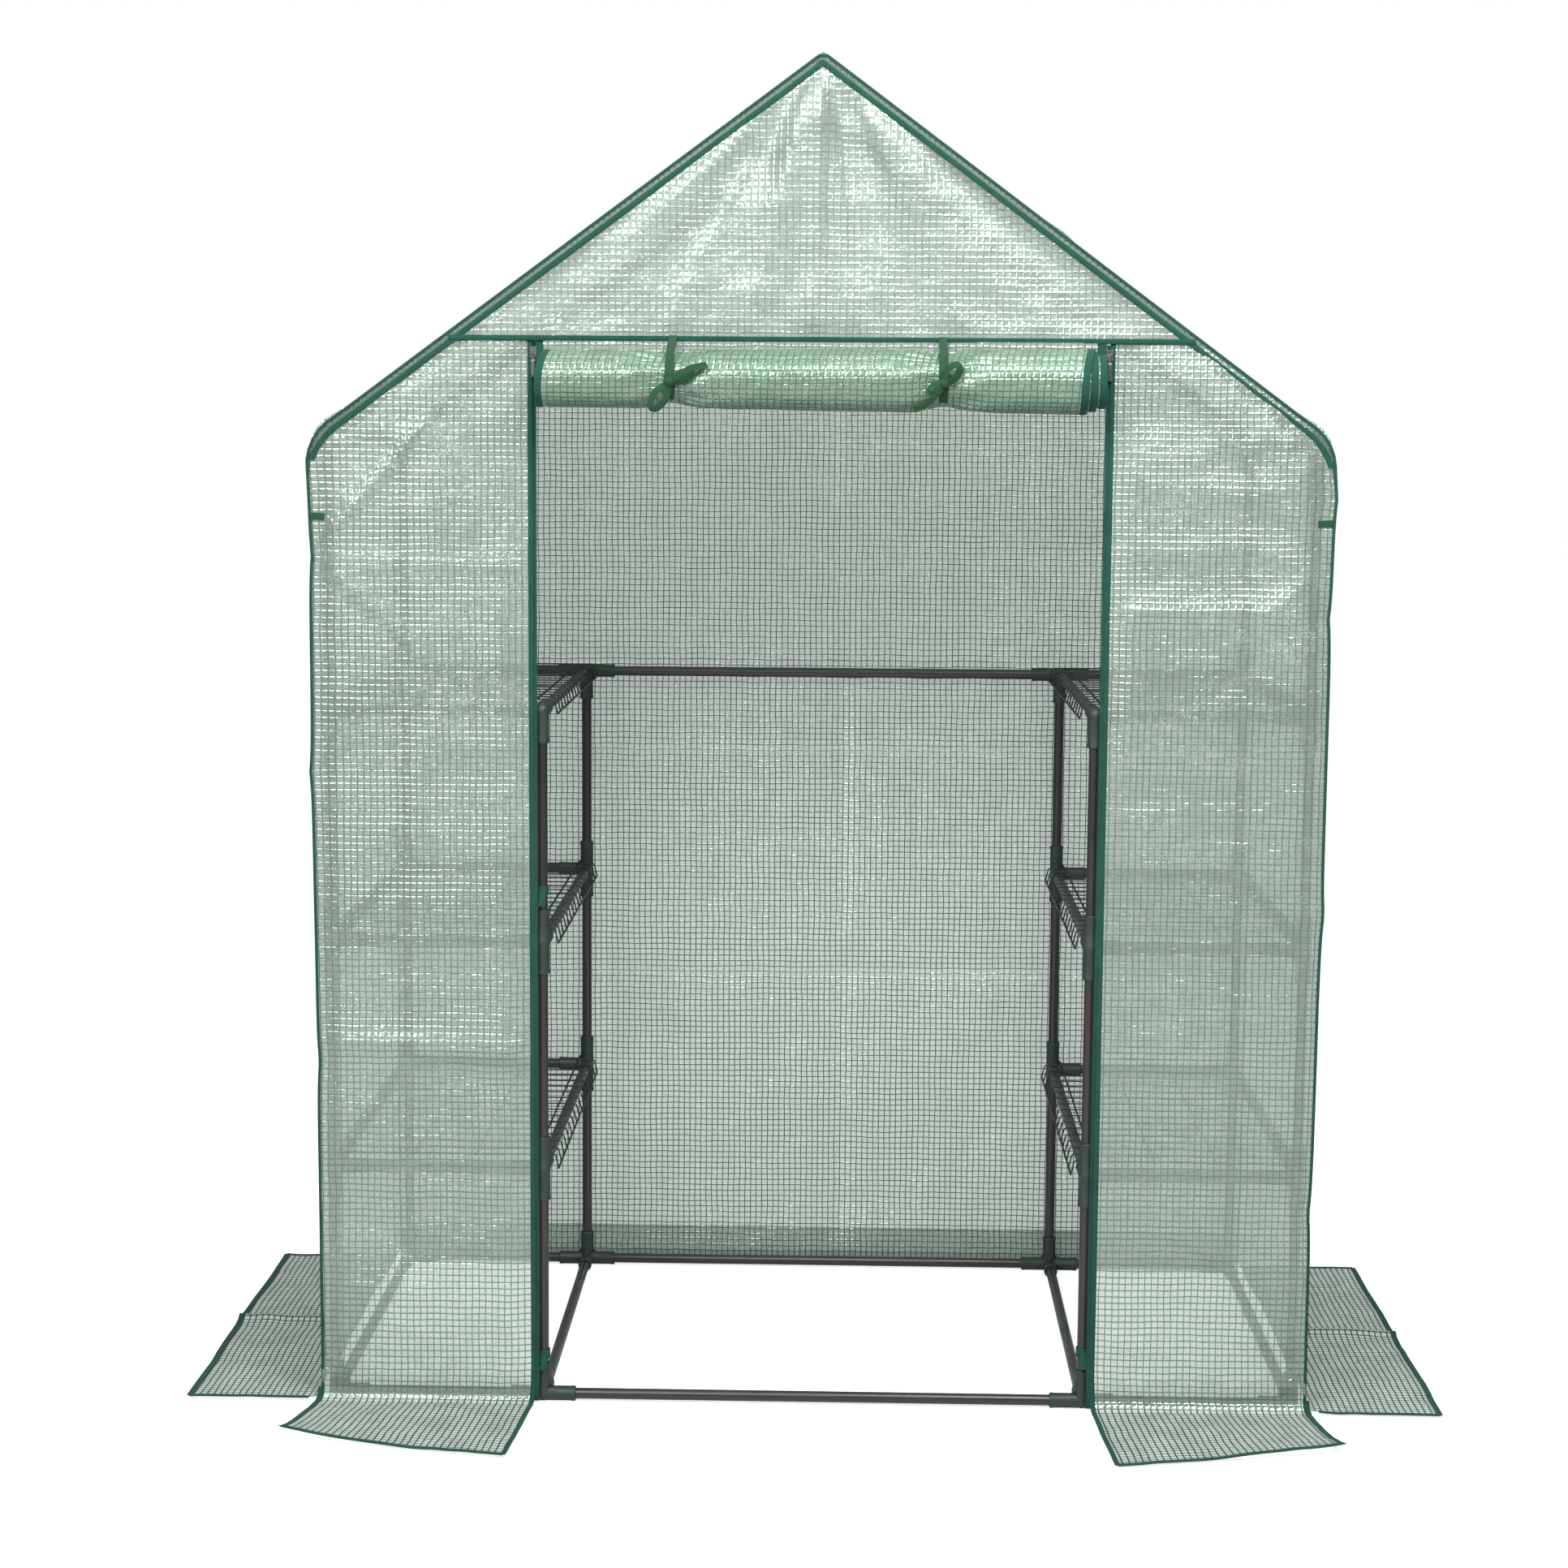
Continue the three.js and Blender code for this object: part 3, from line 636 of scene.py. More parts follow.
def add_eave_elbow(side_name, end_name):
    side, end = SIDES[side_name], ENDS[end_name]
    bend = elbow_bend(side, end * POST_Y)
    foot, head, halfway = bend[0], bend[-1], bend[len(bend) // 2]
    inwards = Vector((0, -end, 0))
    below = foot + Vector((0, 0, -ELBOW_LAP))
    route = [below] + bend[1:-1] + [head + rafter_way(side) * ELBOW_LAP]
    parts = [
        swept(route, circle(SOCKET_R - 0.0003), (0, 1, 0)),
        sleeve(foot, (0, 0, -1)),
        sleeve(head, rafter_way(side)),
        sleeve(halfway, inwards),
        web(halfway, inwards, rafter_way(side)),
        web(halfway, inwards, (0, 0, -1)),
    ]
    name = f"{side_name}_{end_name}_eave_elbow"
    finish_piece(united(f"{name}_moulded", parts, PLASTIC), "frame", "joint", name)


def add_racks():
    posts = {"outer": OUTER_X, "inner": INNER_X}
    for side_name, side in SIDES.items():
        for end_name, end in ENDS.items():
            here = f"{side_name}_{end_name}"
            y = end * POST_Y
            rack_end = f"{here}_rack_end"
            for post, x in posts.items():
                for index in range(len(LEVELS) - 1):
                    a = (side * x, y, LEVEL_Z[index])
                    b = (side * x, y, LEVEL_Z[index + 1])
                    add_tube(f"{here}_{post}_post_{index + 1}", a, b, rack_end)
            for level, z in zip(LEVELS, LEVEL_Z):
                a, b = (side * OUTER_X, y, z), (side * INNER_X, y, z)
                add_tube(f"{here}_rung_{level}", a, b, rack_end)
                for post, x in posts.items():
                    ways = [(0, -end, 0), (-side if post == "outer" else side, 0, 0)]
                    if level != "base":
                        ways.append((0, 0, -1))
                    if level != "tier_3" or post == "outer":
                        ways.append((0, 0, 1))
                    barred = level == "base" or (level == "tier_3" and end_name == "back")
                    if post == "inner" and barred:
                        ways.append((-side, 0, 0))
                    add_joint(f"{here}_{post}_joint_{level}", (side * x, y, z), ways, rack_end)
        for post, x in posts.items():
            for level, z in zip(LEVELS, LEVEL_Z):
                node = f"{side_name}_{post}_rail_{level}"
                add_tube(f"{node}_tube", (side * x, -POST_Y, z), (side * x, POST_Y, z), node)


def add_crossbars():
    for node, y, z in (
        ("front_base_crossbar", -POST_Y, LEVEL_Z[0]),
        ("back_base_crossbar", POST_Y, LEVEL_Z[0]),
        ("back_tier_3_crossbar", POST_Y, TOP_Z),
    ):
        add_tube(f"{node}_tube", (-INNER_X, y, z), (INNER_X, y, z), node)


def add_roof_frame():
    for side_name, side in SIDES.items():
        for end_name, end in ENDS.items():
            here = f"{side_name}_{end_name}"
            y = end * POST_Y
            bend = elbow_bend(side, y)
            rack_top = (side * OUTER_X, y, TOP_Z)
            add_tube(f"{here}_upper_post_tube", rack_top, bend[0], f"{here}_upper_post")
            ridge = (0, y, RIDGE_AXIS_Z)
            add_tube(f"{here}_rafter_tube", bend[-1], ridge, f"{here}_rafter")
            add_eave_elbow(side_name, end_name)
        front = elbow_bend(side, -POST_Y)
        back = elbow_bend(side, POST_Y)
        half = len(front) // 2
        add_tube(f"{side_name}_eave_rail_tube", front[half], back[half], f"{side_name}_eave_rail")
    a, b = (0, -POST_Y, RIDGE_AXIS_Z), (0, POST_Y, RIDGE_AXIS_Z)
    add_tube("ridge_rail_tube", a, b, "ridge_rail")
    for end_name, end in ENDS.items():
        ways = [-rafter_way(1), -rafter_way(-1), (0, -end, 0)]
        centre = (0, end * POST_Y, RIDGE_AXIS_Z)
        add_joint(f"{end_name}_ridge_joint_moulded", centre, ways, f"{end_name}_ridge_joint")


# ---- wire shelves

SHELF_WIRES = 17
WIRE_R = 0.0011
RUNNER_R = 0.0016
# The wires turn down this far on the aisle's side of the inner rail's centre.
LIP_SETBACK = 0.015


def rounded_route(points, radius=0.004, steps=4):
    """A polyline with its inner corners rounded."""
    points = [Vector(p) for p in points]
    route = [points[0]]
    for before, here, after in zip(points, points[1:], points[2:]):
        first = here + (before - here).normalized() * radius
        last = here + (after - here).normalized() * radius
        for t in np.linspace(0, 1, steps + 1):
            route.append(first * (1 - t) ** 2 + here * 2 * t * (1 - t) + last * t ** 2)
    return route + [points[-1]]


def add_shelf(side_name, index):
    node = f"{side_name}_shelf_{index}"
    side = SIDES[side_name]
    least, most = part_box(node)
    top = most.z - WIRE_R
    tip_z = least.z + RUNNER_R
    wall_x = max(abs(least.x), abs(most.x)) - WIRE_R
    tip_x = min(abs(least.x), abs(most.x)) + RUNNER_R
    bend_x = INNER_X - LIP_SETBACK
    ends = (least.y + RUNNER_R, most.y - RUNNER_R)
    section = circle(WIRE_R, 8)
    parts = []
    for y in np.linspace(ends[0], ends[1], SHELF_WIRES):
        corners = [(side * wall_x, y, top), (side * bend_x, y, top), (side * tip_x, y, tip_z)]
        parts.append(swept(rounded_route(corners), section, (0, 1, 0)))
    below = top - WIRE_R - RUNNER_R * 0.8
    span = wall_x - bend_x
    runners = [(wall_x - RUNNER_R, top), (tip_x, tip_z), (bend_x + 0.028, below)]
    runners += [(bend_x + span * share, below) for share in (0.36, 0.64)]
    for x, z in runners:
        a, b = Vector((side * x, ends[0] - WIRE_R, z)), Vector((side * x, ends[1] + WIRE_R, z))
        profile = [(0, 0), (RUNNER_R, 0.0005), (RUNNER_R, (b - a).length - 0.0005),
                   (0, (b - a).length)]
        parts.append(turned(a, b - a, profile, 8))
    made = new_object(f"{node}_wires", *merged(parts), WIRE)
    finish_piece(made, f"{node}_body", "wire", node)


# ---- cloth helpers

# How finely the sheets are divided: points across each, and rows in the skirts and the gable.
SHELL_STEP = 0.0125
SHELL_COLUMNS = 61
BACK_COLUMNS = 170
BACK_SKIRT_ROWS = 16
FRONT_COLUMNS = 42
FRONT_SKIRT_ROWS = 21
GABLE_COLUMNS = 130
GABLE_ROWS = 50


def smooth_noise(u, v, size, seed):
    """Smooth noise from -1 to 1 over cloth coordinates, with bumps about size across."""
    values = np.random.default_rng(seed).uniform(-1, 1, (64, 64))
    x, y = np.asarray(u, float) / size + 17.3, np.asarray(v, float) / size + 29.1
    column, row = np.floor(x).astype(int), np.floor(y).astype(int)
    fx, fy = x - column, y - row
    fx, fy = fx * fx * (3 - 2 * fx), fy * fy * (3 - 2 * fy)
    at = lambda r, c: values[r % 64, c % 64]
    upper = at(row, column) * (1 - fx) + at(row, column + 1) * fx
    lower = at(row + 1, column) * (1 - fx) + at(row + 1, column + 1) * fx
    return upper * (1 - fy) + lower * fy


def ridges(u, v, size, seed):
    """Sharp little ridges, as where thin film has been crushed."""
    return 1 - 2 * np.abs(smooth_noise(u, v, size, seed))


def crease(distance, height, width=0.014):
    """A fold line's profile: a sharp top that falls away on both sides."""
    return height * np.exp(-np.abs(distance) / width)


def eased(x, start, end):
    t = np.clip((np.asarray(x, float) - start) / (end - start), 0, 1)
    return t * t * (3 - 2 * t)


def crumple(u, v, seed):
    """How far film stands out of its plane: slow waves, crushed ridges and fine crinkles."""
    patchy = 0.65 + 0.35 * smooth_noise(u, v, 0.26, seed + 2)
    return (0.0048 * smooth_noise(u, v, 0.15, seed)
            + 0.0022 * ridges(u, v, 0.072, seed + 1) * patchy
            + 0.0006 * ridges(u, v, 0.031, seed + 3))


# Heights of the kinks in the outline of the left and the right wall.
KINKS = {-1: (1.37, 1.24, 0.93, 0.51), 1: (1.33, 1.16, 0.74, 0.30)}


def drift(points):
    """A slow warp of the whole cover, the same for film and binding, mostly outwards."""
    x, y, height = np.moveaxis(np.asarray(points, float), -1, 0)
    outwards = 0.0015 + 0.0025 * smooth_noise(height, y, 0.33, 5)
    wall = eased(np.abs(x), COVER_X - 0.05, COVER_X) * eased(height, 0.02, 0.15)
    standing = eased(np.abs(x), COVER_X + 0.03, COVER_X + 0.01)
    for sign, heights in KINKS.items():
        for index, kink in enumerate(heights):
            bulge = crease(height - kink, 0.0035 * (-1) ** index, 0.03)
            outwards = outwards + bulge * (np.sign(x) == sign)
    face = eased(np.abs(y), 0.34, 0.36) * eased(height, 0.05, 0.2)
    out = 0.001 + 0.003 * smooth_noise(x, height, 0.4, 8)
    return np.stack([x + np.sign(x) * outwards * wall * standing,
                     y + np.sign(y) * np.maximum(out, -0.001) * face, height], -1)


def cloth(name, points, coordinates, material):
    """A sheet from a grid of points, with its flat cloth coordinates in metres as a UV map."""
    rows, columns = points.shape[:2]
    index = np.arange(rows * columns).reshape(rows, columns)
    faces = np.stack([index[:-1, :-1], index[:-1, 1:], index[1:, 1:], index[1:, :-1]], -1)
    faces = faces.reshape(-1, 4)
    mesh = bpy.data.meshes.new(name)
    mesh.from_pydata(points.reshape(-1, 3).tolist(), [], faces.tolist())
    layer = mesh.uv_layers.new(name="cloth")
    flat = coordinates.reshape(-1, 2)[faces.reshape(-1)]
    layer.data.foreach_set("uv", flat.astype(np.float32).ravel())
    mesh.materials.append(material)
    mesh.shade_smooth()
    made = linked(name, mesh)
    return made


TAPE_WIDTH = 0.0072
TAPE_THICK = 0.0016
SKIRT_TAPE = 0.0092


def tape_section(width=TAPE_WIDTH, thick=TAPE_THICK):
    w, t = width / 2, thick / 2
    return [(w, -t * 0.4), (w, t * 0.4), (w * 0.8, t), (-w * 0.8, t),
            (-w, t * 0.4), (-w, -t * 0.4), (-w * 0.8, -t), (w * 0.8, -t)]


def resampled(points, spacing=0.012):
    points = np.array([tuple(p) for p in points], float)
    steps = np.linalg.norm(np.diff(points, axis=0), axis=1)
    run = np.concatenate([[0], np.cumsum(steps)])
    count = max(2, int(round(run[-1] / spacing)) + 1)
    wanted = np.linspace(0, run[-1], count)
    return np.stack([np.interp(wanted, run, points[:, axis]) for axis in range(3)], 1)


def add_binding(name, points, sideways, width=TAPE_WIDTH):
    """A folded tape sewn over an edge, lying across the direction sideways."""
    add_ribbon(name, [swept(resampled(points), tape_section(width), sideways)])


# ---- cover outline

EAVE_CENTRE = (COVER_X - EAVE_R, CORNER_Z - EAVE_TANGENT)
ROOF_RUN = COVER_X / math.cos(PITCH) - EAVE_TANGENT
EAVE_RUN = EAVE_R * EAVE_BEND
FOLD_R = 0.016
WALL_RUN = EAVE_CENTRE[1] - FOLD_R
FOLD_RUN = FOLD_R * math.pi / 2
# The skirts lie this far above the floor.
LIFT = 0.0012


def outline(run):
    """Point (x, z) and outward normal of the right half of the cover, from its run out from
    the ridge: down the roof, round the eave, down the wall, and out along the skirt."""
    run = np.asarray(run, float)
    foot_run = ROOF_RUN + EAVE_RUN + WALL_RUN
    roof = np.minimum(run, ROOF_RUN)
    eave = np.clip(run - ROOF_RUN, 0, EAVE_RUN) / EAVE_R
    wall = np.clip(run - ROOF_RUN - EAVE_RUN, 0, WALL_RUN)
    fold = np.clip(run - foot_run, 0, FOLD_RUN) / FOLD_R
    skirt = np.maximum(run - foot_run - FOLD_RUN, 0)
    leaning = EAVE_BEND - eave
    x = (roof * math.cos(PITCH) + EAVE_R * (np.cos(leaning) - math.sin(PITCH))
         + FOLD_R * (1 - np.cos(fold)) + skirt)
    z = (RIDGE_Z - roof * math.sin(PITCH) + EAVE_R * (np.sin(leaning) - math.cos(PITCH))
         - wall - FOLD_R * np.sin(fold) + LIFT * (run > foot_run))
    return x, z, np.cos(leaning + fold), np.sin(leaning + fold)


SKIRT_RUN = SKIRT_X - COVER_X - FOLD_R
HALF_RUN = ROOF_RUN + EAVE_RUN + WALL_RUN + FOLD_RUN + SKIRT_RUN


def roof_top(x):
    """Height of the cover's outline over x, with its rounded eave."""
    x = np.abs(np.asarray(x, float))
    straight = RIDGE_Z - x * math.tan(PITCH)
    turn = EAVE_CENTRE[0] + EAVE_R * math.sin(PITCH)
    inside = np.clip(EAVE_R ** 2 - (x - EAVE_CENTRE[0]) ** 2, 0, None)
    return np.where(x > turn, EAVE_CENTRE[1] + np.sqrt(inside), straight)


def skirt_ripple(u, v, seed):
    """Skirts lie on the floor with a few low ripples."""
    wave = 0.5 + 0.5 * smooth_noise(u, v, 0.11, seed)
    fine = 0.5 + 0.5 * ridges(u, v, 0.05, seed + 1)
    return 0.0045 * wave + 0.0018 * fine


# The roof's edge turns down over the gable as far as the seam. Each step is how far it stands
# off the gable, and its share of the way down.
SEAM = 0.013
EDGE_TURN = [(0.0006, 0.45), (0.0012, 1.0)]


def add_shell():
    """Roof, side walls and side skirts: one sheet over the whole frame."""
    run = np.linspace(-HALF_RUN, HALF_RUN, 2 * int(HALF_RUN / SHELL_STEP) + 1)
    y = np.linspace(-WALL_Y, WALL_Y, SHELL_COLUMNS)
    side = np.where(run < 0, -1.0, 1.0)
    x, z, nx, nz = outline(np.abs(run))
    u, v = np.meshgrid(run, y, indexing="ij")
    distance = np.abs(u)
    edge = eased(WALL_Y - np.abs(v), 0.0, 0.06)
    on_floor = eased(distance, HALF_RUN - SKIRT_RUN - 0.03, HALF_RUN - SKIRT_RUN)
    height = (crumple(u, v, 11) + 0.004) * edge * (1 - on_floor)
    roof_sag = eased(ROOF_RUN - distance, 0.0, 0.15) * eased(distance, 0.0, 0.1)
    height -= 0.007 * roof_sag * (1 - (v / WALL_Y) ** 2)
    for fold_y in (-0.12, 0.13):
        height += crease(v - fold_y, 0.0028) * (1 - on_floor) * edge
    for fold_run in (0.42, 1.18, 1.62, 2.02):
        height += crease(distance - fold_run, 0.0035) * edge * (1 - on_floor)
    height += skirt_ripple(u, v, 31) * on_floor
    height += crease(v, 0.008, 0.009) * on_floor
    points = np.empty(u.shape + (3,))
    points[..., 0] = (side * x)[:, None] + (side * nx)[:, None] * height
    points[..., 1] = v
    points[..., 2] = z[:, None] + nz[:, None] * height
    points = drift(points)
    # Both edges turn down over the gables, as far as the seam.
    turn_down = SEAM * eased(ROOF_RUN + EAVE_RUN - np.abs(run), -0.05, 0.05)

    def turned_down(edge_y, share, row):
        row = row.copy()
        row[:, 1] += edge_y
        row[:, 0] -= side * nx * turn_down * share
        row[:, 2] -= nz * turn_down * share
        return row[:, None]

    front = [turned_down(FRONT_Y + WALL_Y - stand, share, points[:, 0])
             for stand, share in EDGE_TURN[::-1]]
    back = [turned_down(BACK_Y - WALL_Y + stand, share, points[:, -1])
            for stand, share in EDGE_TURN]
    points = np.concatenate(front + [points] + back, 1)
    flat_v = np.concatenate([[-WALL_Y - SEAM, -WALL_Y - SEAM / 2], y,
                             [WALL_Y + SEAM / 2, WALL_Y + SEAM]])
    coordinates = np.stack(np.meshgrid(flat_v, run), -1)
    made = cloth("roof_and_side_sheet", points, coordinates, WALL_FILM)
    finish_piece(made, "frame", "mesh_sheet", "cover_left_side", "cover_right_side")
    for side_name, sign in SIDES.items():
        skirt = points[(side == sign) & (np.abs(run) > HALF_RUN - SKIRT_RUN)]
        outer = skirt[0] if sign < 0 else skirt[-1]
        add_binding(f"{side_name}_skirt_binding", outer, (1, 0, 0), SKIRT_TAPE)
        for end_name, column in (("front", 0), ("back", -1)):
            add_binding(f"{side_name}_{end_name}_skirt_end_binding", skirt[:, column], (0, 1, 0),
                        SKIRT_TAPE)


def add_panel(name, points, coordinates, material, node):
    """A panel that hangs from the roof sheet."""
    made = cloth(name, points, coordinates, material)
    finish_piece(made, "frame", "mesh_sheet", node)


def panel_grid(columns, top, skirt, skirt_rows, spacing=0.0085):
    """Grid over x and height, from 0 to the top over each x, with a skirt's rows below nought."""
    share = np.linspace(0, 1, int(top.max() / spacing) + 1)
    below = np.linspace(-skirt, 0, skirt_rows + 1)[:-1]
    z = np.concatenate([np.broadcast_to(below[:, None], (skirt_rows, len(columns))),
                        share[:, None] * top[None, :]])
    return np.broadcast_to(columns, z.shape).copy(), z


def foot(z, y, out, fold=0.022):
    """Bends a panel's foot out along the floor. z is the run up from the fold's middle, and
    below nought it is the run out along the floor. Returns new y offset and height."""
    quarter = fold * math.pi / 2
    run = z + quarter / 2
    angle = np.clip(run / fold, 0, math.pi / 2)
    offset = np.where(run >= quarter, 0.0, fold * (1 - np.sin(angle)))
    height = np.where(run >= quarter, run - quarter + fold, fold * (1 - np.cos(angle)))
    offset = np.where(run < 0, fold - run, offset)
    return y + out * offset, LIFT + np.where(run < 0, 0.0, height)


def add_back():
    """Back wall and back skirt, one sheet."""
    columns = np.linspace(-COVER_X, COVER_X, BACK_COLUMNS)
    top = roof_top(columns) - SEAM * 0.4
    skirt = SKIRT_Y - BACK_Y
    x, z = panel_grid(columns, top, skirt, BACK_SKIRT_ROWS)
    edge = eased(COVER_X - np.abs(x), 0, 0.05) * eased(roof_top(x) - z, 0.0, 0.06)
    standing = eased(z, 0.01, 0.06)
    height = crumple(x, z, 41) + 0.003
    for fold_x, tall in ((0.035, 0.0045), (-0.36, 0.003), (0.40, 0.003)):
        height += crease(x - fold_x, tall)
    for fold_z, tall in ((0.50, 0.0065), (0.88, 0.003), (1.22, 0.0035)):
        height += crease(z - fold_z - 0.004 * np.sin(x * 5), tall)
    height *= edge * standing
    y, lifted = foot(z, BACK_Y, 1.0)
    ripple = skirt_ripple(x, z, 47) * (1 - eased(z, -0.03, 0.0))
    points = drift(np.stack([x, y + height, lifted + ripple], -1))
    add_panel("back_wall_sheet", points, np.stack([x, z], -1), BACK_FILM, "cover_back")


# The front skirts have this much more cloth than the reach of their outline, and their outer
# corners are shorter.
SKIRT_SPARE = 0.013

# Height and size of the folds across each front wall, left from its packing.
PANEL_FOLDS = {
    "left": [(0.525, 0.012), (0.84, 0.003), (1.22, 0.0055)],
    "right": [(0.55, 0.005), (0.87, 0.003), (1.161, 0.0085)],
}


def add_front(side_name):
    """Front wall beside the door, with its skirt."""
    side = SIDES[side_name]
    seed = 61 if side < 0 else 71
    columns = np.linspace(DOOR_X, COVER_X, FRONT_COLUMNS)
    roof = roof_top(columns) - SEAM * eased(COVER_X - columns, 0.0, 0.12)
    top = np.minimum(roof, HEM_Z)
    skirt = FRONT_Y - low("cover_front_right").y + SKIRT_SPARE
    x, z = panel_grid(columns, top, skirt, FRONT_SKIRT_ROWS)
    edge = (eased(COVER_X - x, 0, 0.05) * eased(x - DOOR_X, 0, 0.04)
            * eased(np.minimum(roof_top(x), HEM_Z) - z, 0.0, 0.06))
    standing = eased(z, 0.01, 0.08)
    height = 1.2 * crumple(x * 0.7, z, seed) * edge * standing + 0.003 * edge * standing
    # A crushed band where the wall turns out along the ground.
    crushed = eased(z, 0.012, 0.03) * eased(z, 0.075, 0.04) * eased(x - DOOR_X, 0, 0.03)
    height += crushed * (0.003 + 0.0025 * ridges(x, z, 0.028, seed + 9))
    for fold_z, tall in PANEL_FOLDS[side_name]:
        height += crease(z - fold_z - 0.02 * (x - DOOR_X), tall, 0.017) * edge * standing
    middle_x = (DOOR_X + COVER_X) / 2
    height += crease(x - middle_x - 0.01 * np.sin(z * 3), 0.002) * edge * standing
    # Two pulls run inwards from the outer edge below the eave, one downwards and one upwards.
    inwards = COVER_X - x
    tall = 0.009 if side < 0 else 0.005
    for start_z, slope, reach in ((1.24, -0.9, 0.22), (1.235, 1.15, 0.20)):
        pull = crease(z - start_z - slope * inwards, tall, 0.008)
        height += pull * eased(inwards, reach, 0.12) * edge
    taper = (x - DOOR_X) / (COVER_X - DOOR_X)
    out_share = np.where(z < 0, 1.0 - 0.30 * taper, 1.0)
    y, lifted = foot(np.where(z < 0, z * out_share, z), 0.0, -1.0)
    splay = np.clip((0.05 - z) / (0.05 + skirt), 0, 1) ** 1.3
    ripple = skirt_ripple(x, z, seed + 5) * (1 - eased(z, -0.03, 0.0))
    # The skirt's outer corner curls up off the floor.
    curl = 0.012 * (taper * np.clip(-z / skirt, 0, 1)) ** 4
    placed = np.stack([side * (x + (0.018 + 0.012 * taper) * splay), FRONT_Y + y - height,
                       lifted + ripple + curl], -1)
    placed = drift(placed)
    add_panel(f"front_{side_name}_sheet", placed, np.stack([side * x, z], -1), FRONT_FILM,
              f"cover_front_{side_name}")
    add_binding(f"front_{side_name}_jamb_binding", placed[:, 0], (side, 0, 0.001))
    add_binding(f"front_{side_name}_skirt_binding", placed[0, :], (0, 1, 0), SKIRT_TAPE)
    outer = placed[: FRONT_SKIRT_ROWS + 3, -1]
    add_binding(f"front_{side_name}_skirt_side_binding", outer, (side, 0, 0.001), SKIRT_TAPE)


def add_gable():
    half = (RIDGE_Z - HEM_Z) / math.tan(PITCH) - 0.004
    columns = np.linspace(-half, half, GABLE_COLUMNS)
    top = roof_top(columns) - SEAM
    top = np.maximum(top, HEM_Z + 0.0005)
    share = np.linspace(0, 1, GABLE_ROWS)
    x = np.broadcast_to(columns[None, :], (len(share), len(columns)))
    z = HEM_Z + share[:, None] * (top - HEM_Z)[None, :]
    edge = eased(roof_top(x) - z, SEAM, 0.05) * eased(z - HEM_Z, 0, 0.03)
    height = 1.2 * crumple(x, z, 83) * edge
    # Pleats fan out from the peak.
    drop = np.maximum(RIDGE_Z + 0.05 - z, 0.02)
    fan = x / drop
    spread = edge * eased(drop, 0.05, 0.16)
    for place, tall in ((-0.5, 0.004), (-0.24, 0.006), (-0.03, 0.012), (0.10, 0.007),
                        (0.24, 0.006), (0.46, 0.004)):
        height += crease(fan - place, tall, 0.05) * spread
    height += 0.012 * np.cos(fan * 9.0 + 1.2) * spread * eased(drop, 0.45, 0.12)
    height += crease(z - HEM_Z - 0.19 - 0.01 * np.sin(x * 4), 0.002) * edge
    points = drift(np.stack([x, FRONT_Y - 0.0015 - height, z], -1))
    add_panel("gable_sheet", points, np.stack([x, z], -1), GABLE_FILM, "cover_front_gable")


def add_seam(name, end, inset, width, roof_only=False):
    """A tape along one end of the cover: on the roof it lies an inset in from the edge."""
    stop = HALF_RUN - SKIRT_RUN - FOLD_RUN
    run = np.linspace(-stop, stop, 300)
    if roof_only:
        run = run[np.abs(run) < ROOF_RUN + EAVE_RUN]
    side = np.where(run < 0, -1.0, 1.0)
    x, z, nx, nz = outline(np.abs(run))
    share = inset * eased(ROOF_RUN + EAVE_RUN - np.abs(run), -0.05, 0.05)
    y = np.full_like(x, (FRONT_Y if end < 0 else BACK_Y) + end * 0.0022)
    route = np.stack([side * (x - nx * share), y, z - nz * share], -1)
    across = np.stack([side * nx, np.zeros_like(nx), nz], -1)
    add_ribbon(name, [swept(drift(route), tape_section(width), across)])


# The back skirt's tape lies this far above the skirt's underside.
SKIRT_TAPE_LIFT = 0.0035


def add_bindings():
    for end_name, end in ENDS.items():
        add_seam(f"{end_name}_seam_binding", end, SEAM, 0.0075, roof_only=True)
        add_seam(f"{end_name}_edge_binding", end, 0.0015, 0.0042)
    half = (RIDGE_Z - HEM_Z) / math.tan(PITCH) - 0.012
    hem = [(-half, FRONT_Y - 0.0032, HEM_Z), (half, FRONT_Y - 0.0032, HEM_Z)]
    add_binding("gable_hem_binding", drift(resampled(hem)), (0, 0, 1))
    lift = LIFT + SKIRT_TAPE_LIFT
    back = [(-COVER_X, SKIRT_Y, lift), (COVER_X, SKIRT_Y, lift)]
    add_binding("back_skirt_binding", back, (0, 1, 0), SKIRT_TAPE)
    for side_name, side in SIDES.items():
        ends = [(side * COVER_X, BACK_Y + 0.02, lift), (side * COVER_X, SKIRT_Y, lift)]
        add_binding(f"back_skirt_{side_name}_binding", ends, (1, 0, 0), SKIRT_TAPE)


# ---- door: roll, strip, ties, zips

TURNS = 8.5
CORE_R = 0.011
# How far the inner turns have slipped out of the roll's right end.
TELESCOPE = 0.026
# The ties' places along the roll, how deep and how wide they pinch it, and how it puckers there.
TIE_X = {"left": -0.207, "right": 0.170}
PINCH = 0.0085
PINCH_WIDTH = 0.032
PUCKER = 0.0024


def roll_radius(x):
    taper = 0.003 * x / ROLL_END
    pinch = sum(np.exp(-((x - tie) / PINCH_WIDTH) ** 2) for tie in TIE_X.values())
    return ROLL_R - 0.003 + taper - PINCH * pinch


def telescoped(share):
    """How far the turns at a share of the roll's radius have slipped out of its right end:
    the inner turns stand out in three steps."""
    slipped = 0.5 * (1 - eased(share, 0.90, 0.95)) + 0.5 * (1 - eased(share, 0.74, 0.80))
    return TELESCOPE * (slipped - 0.5)


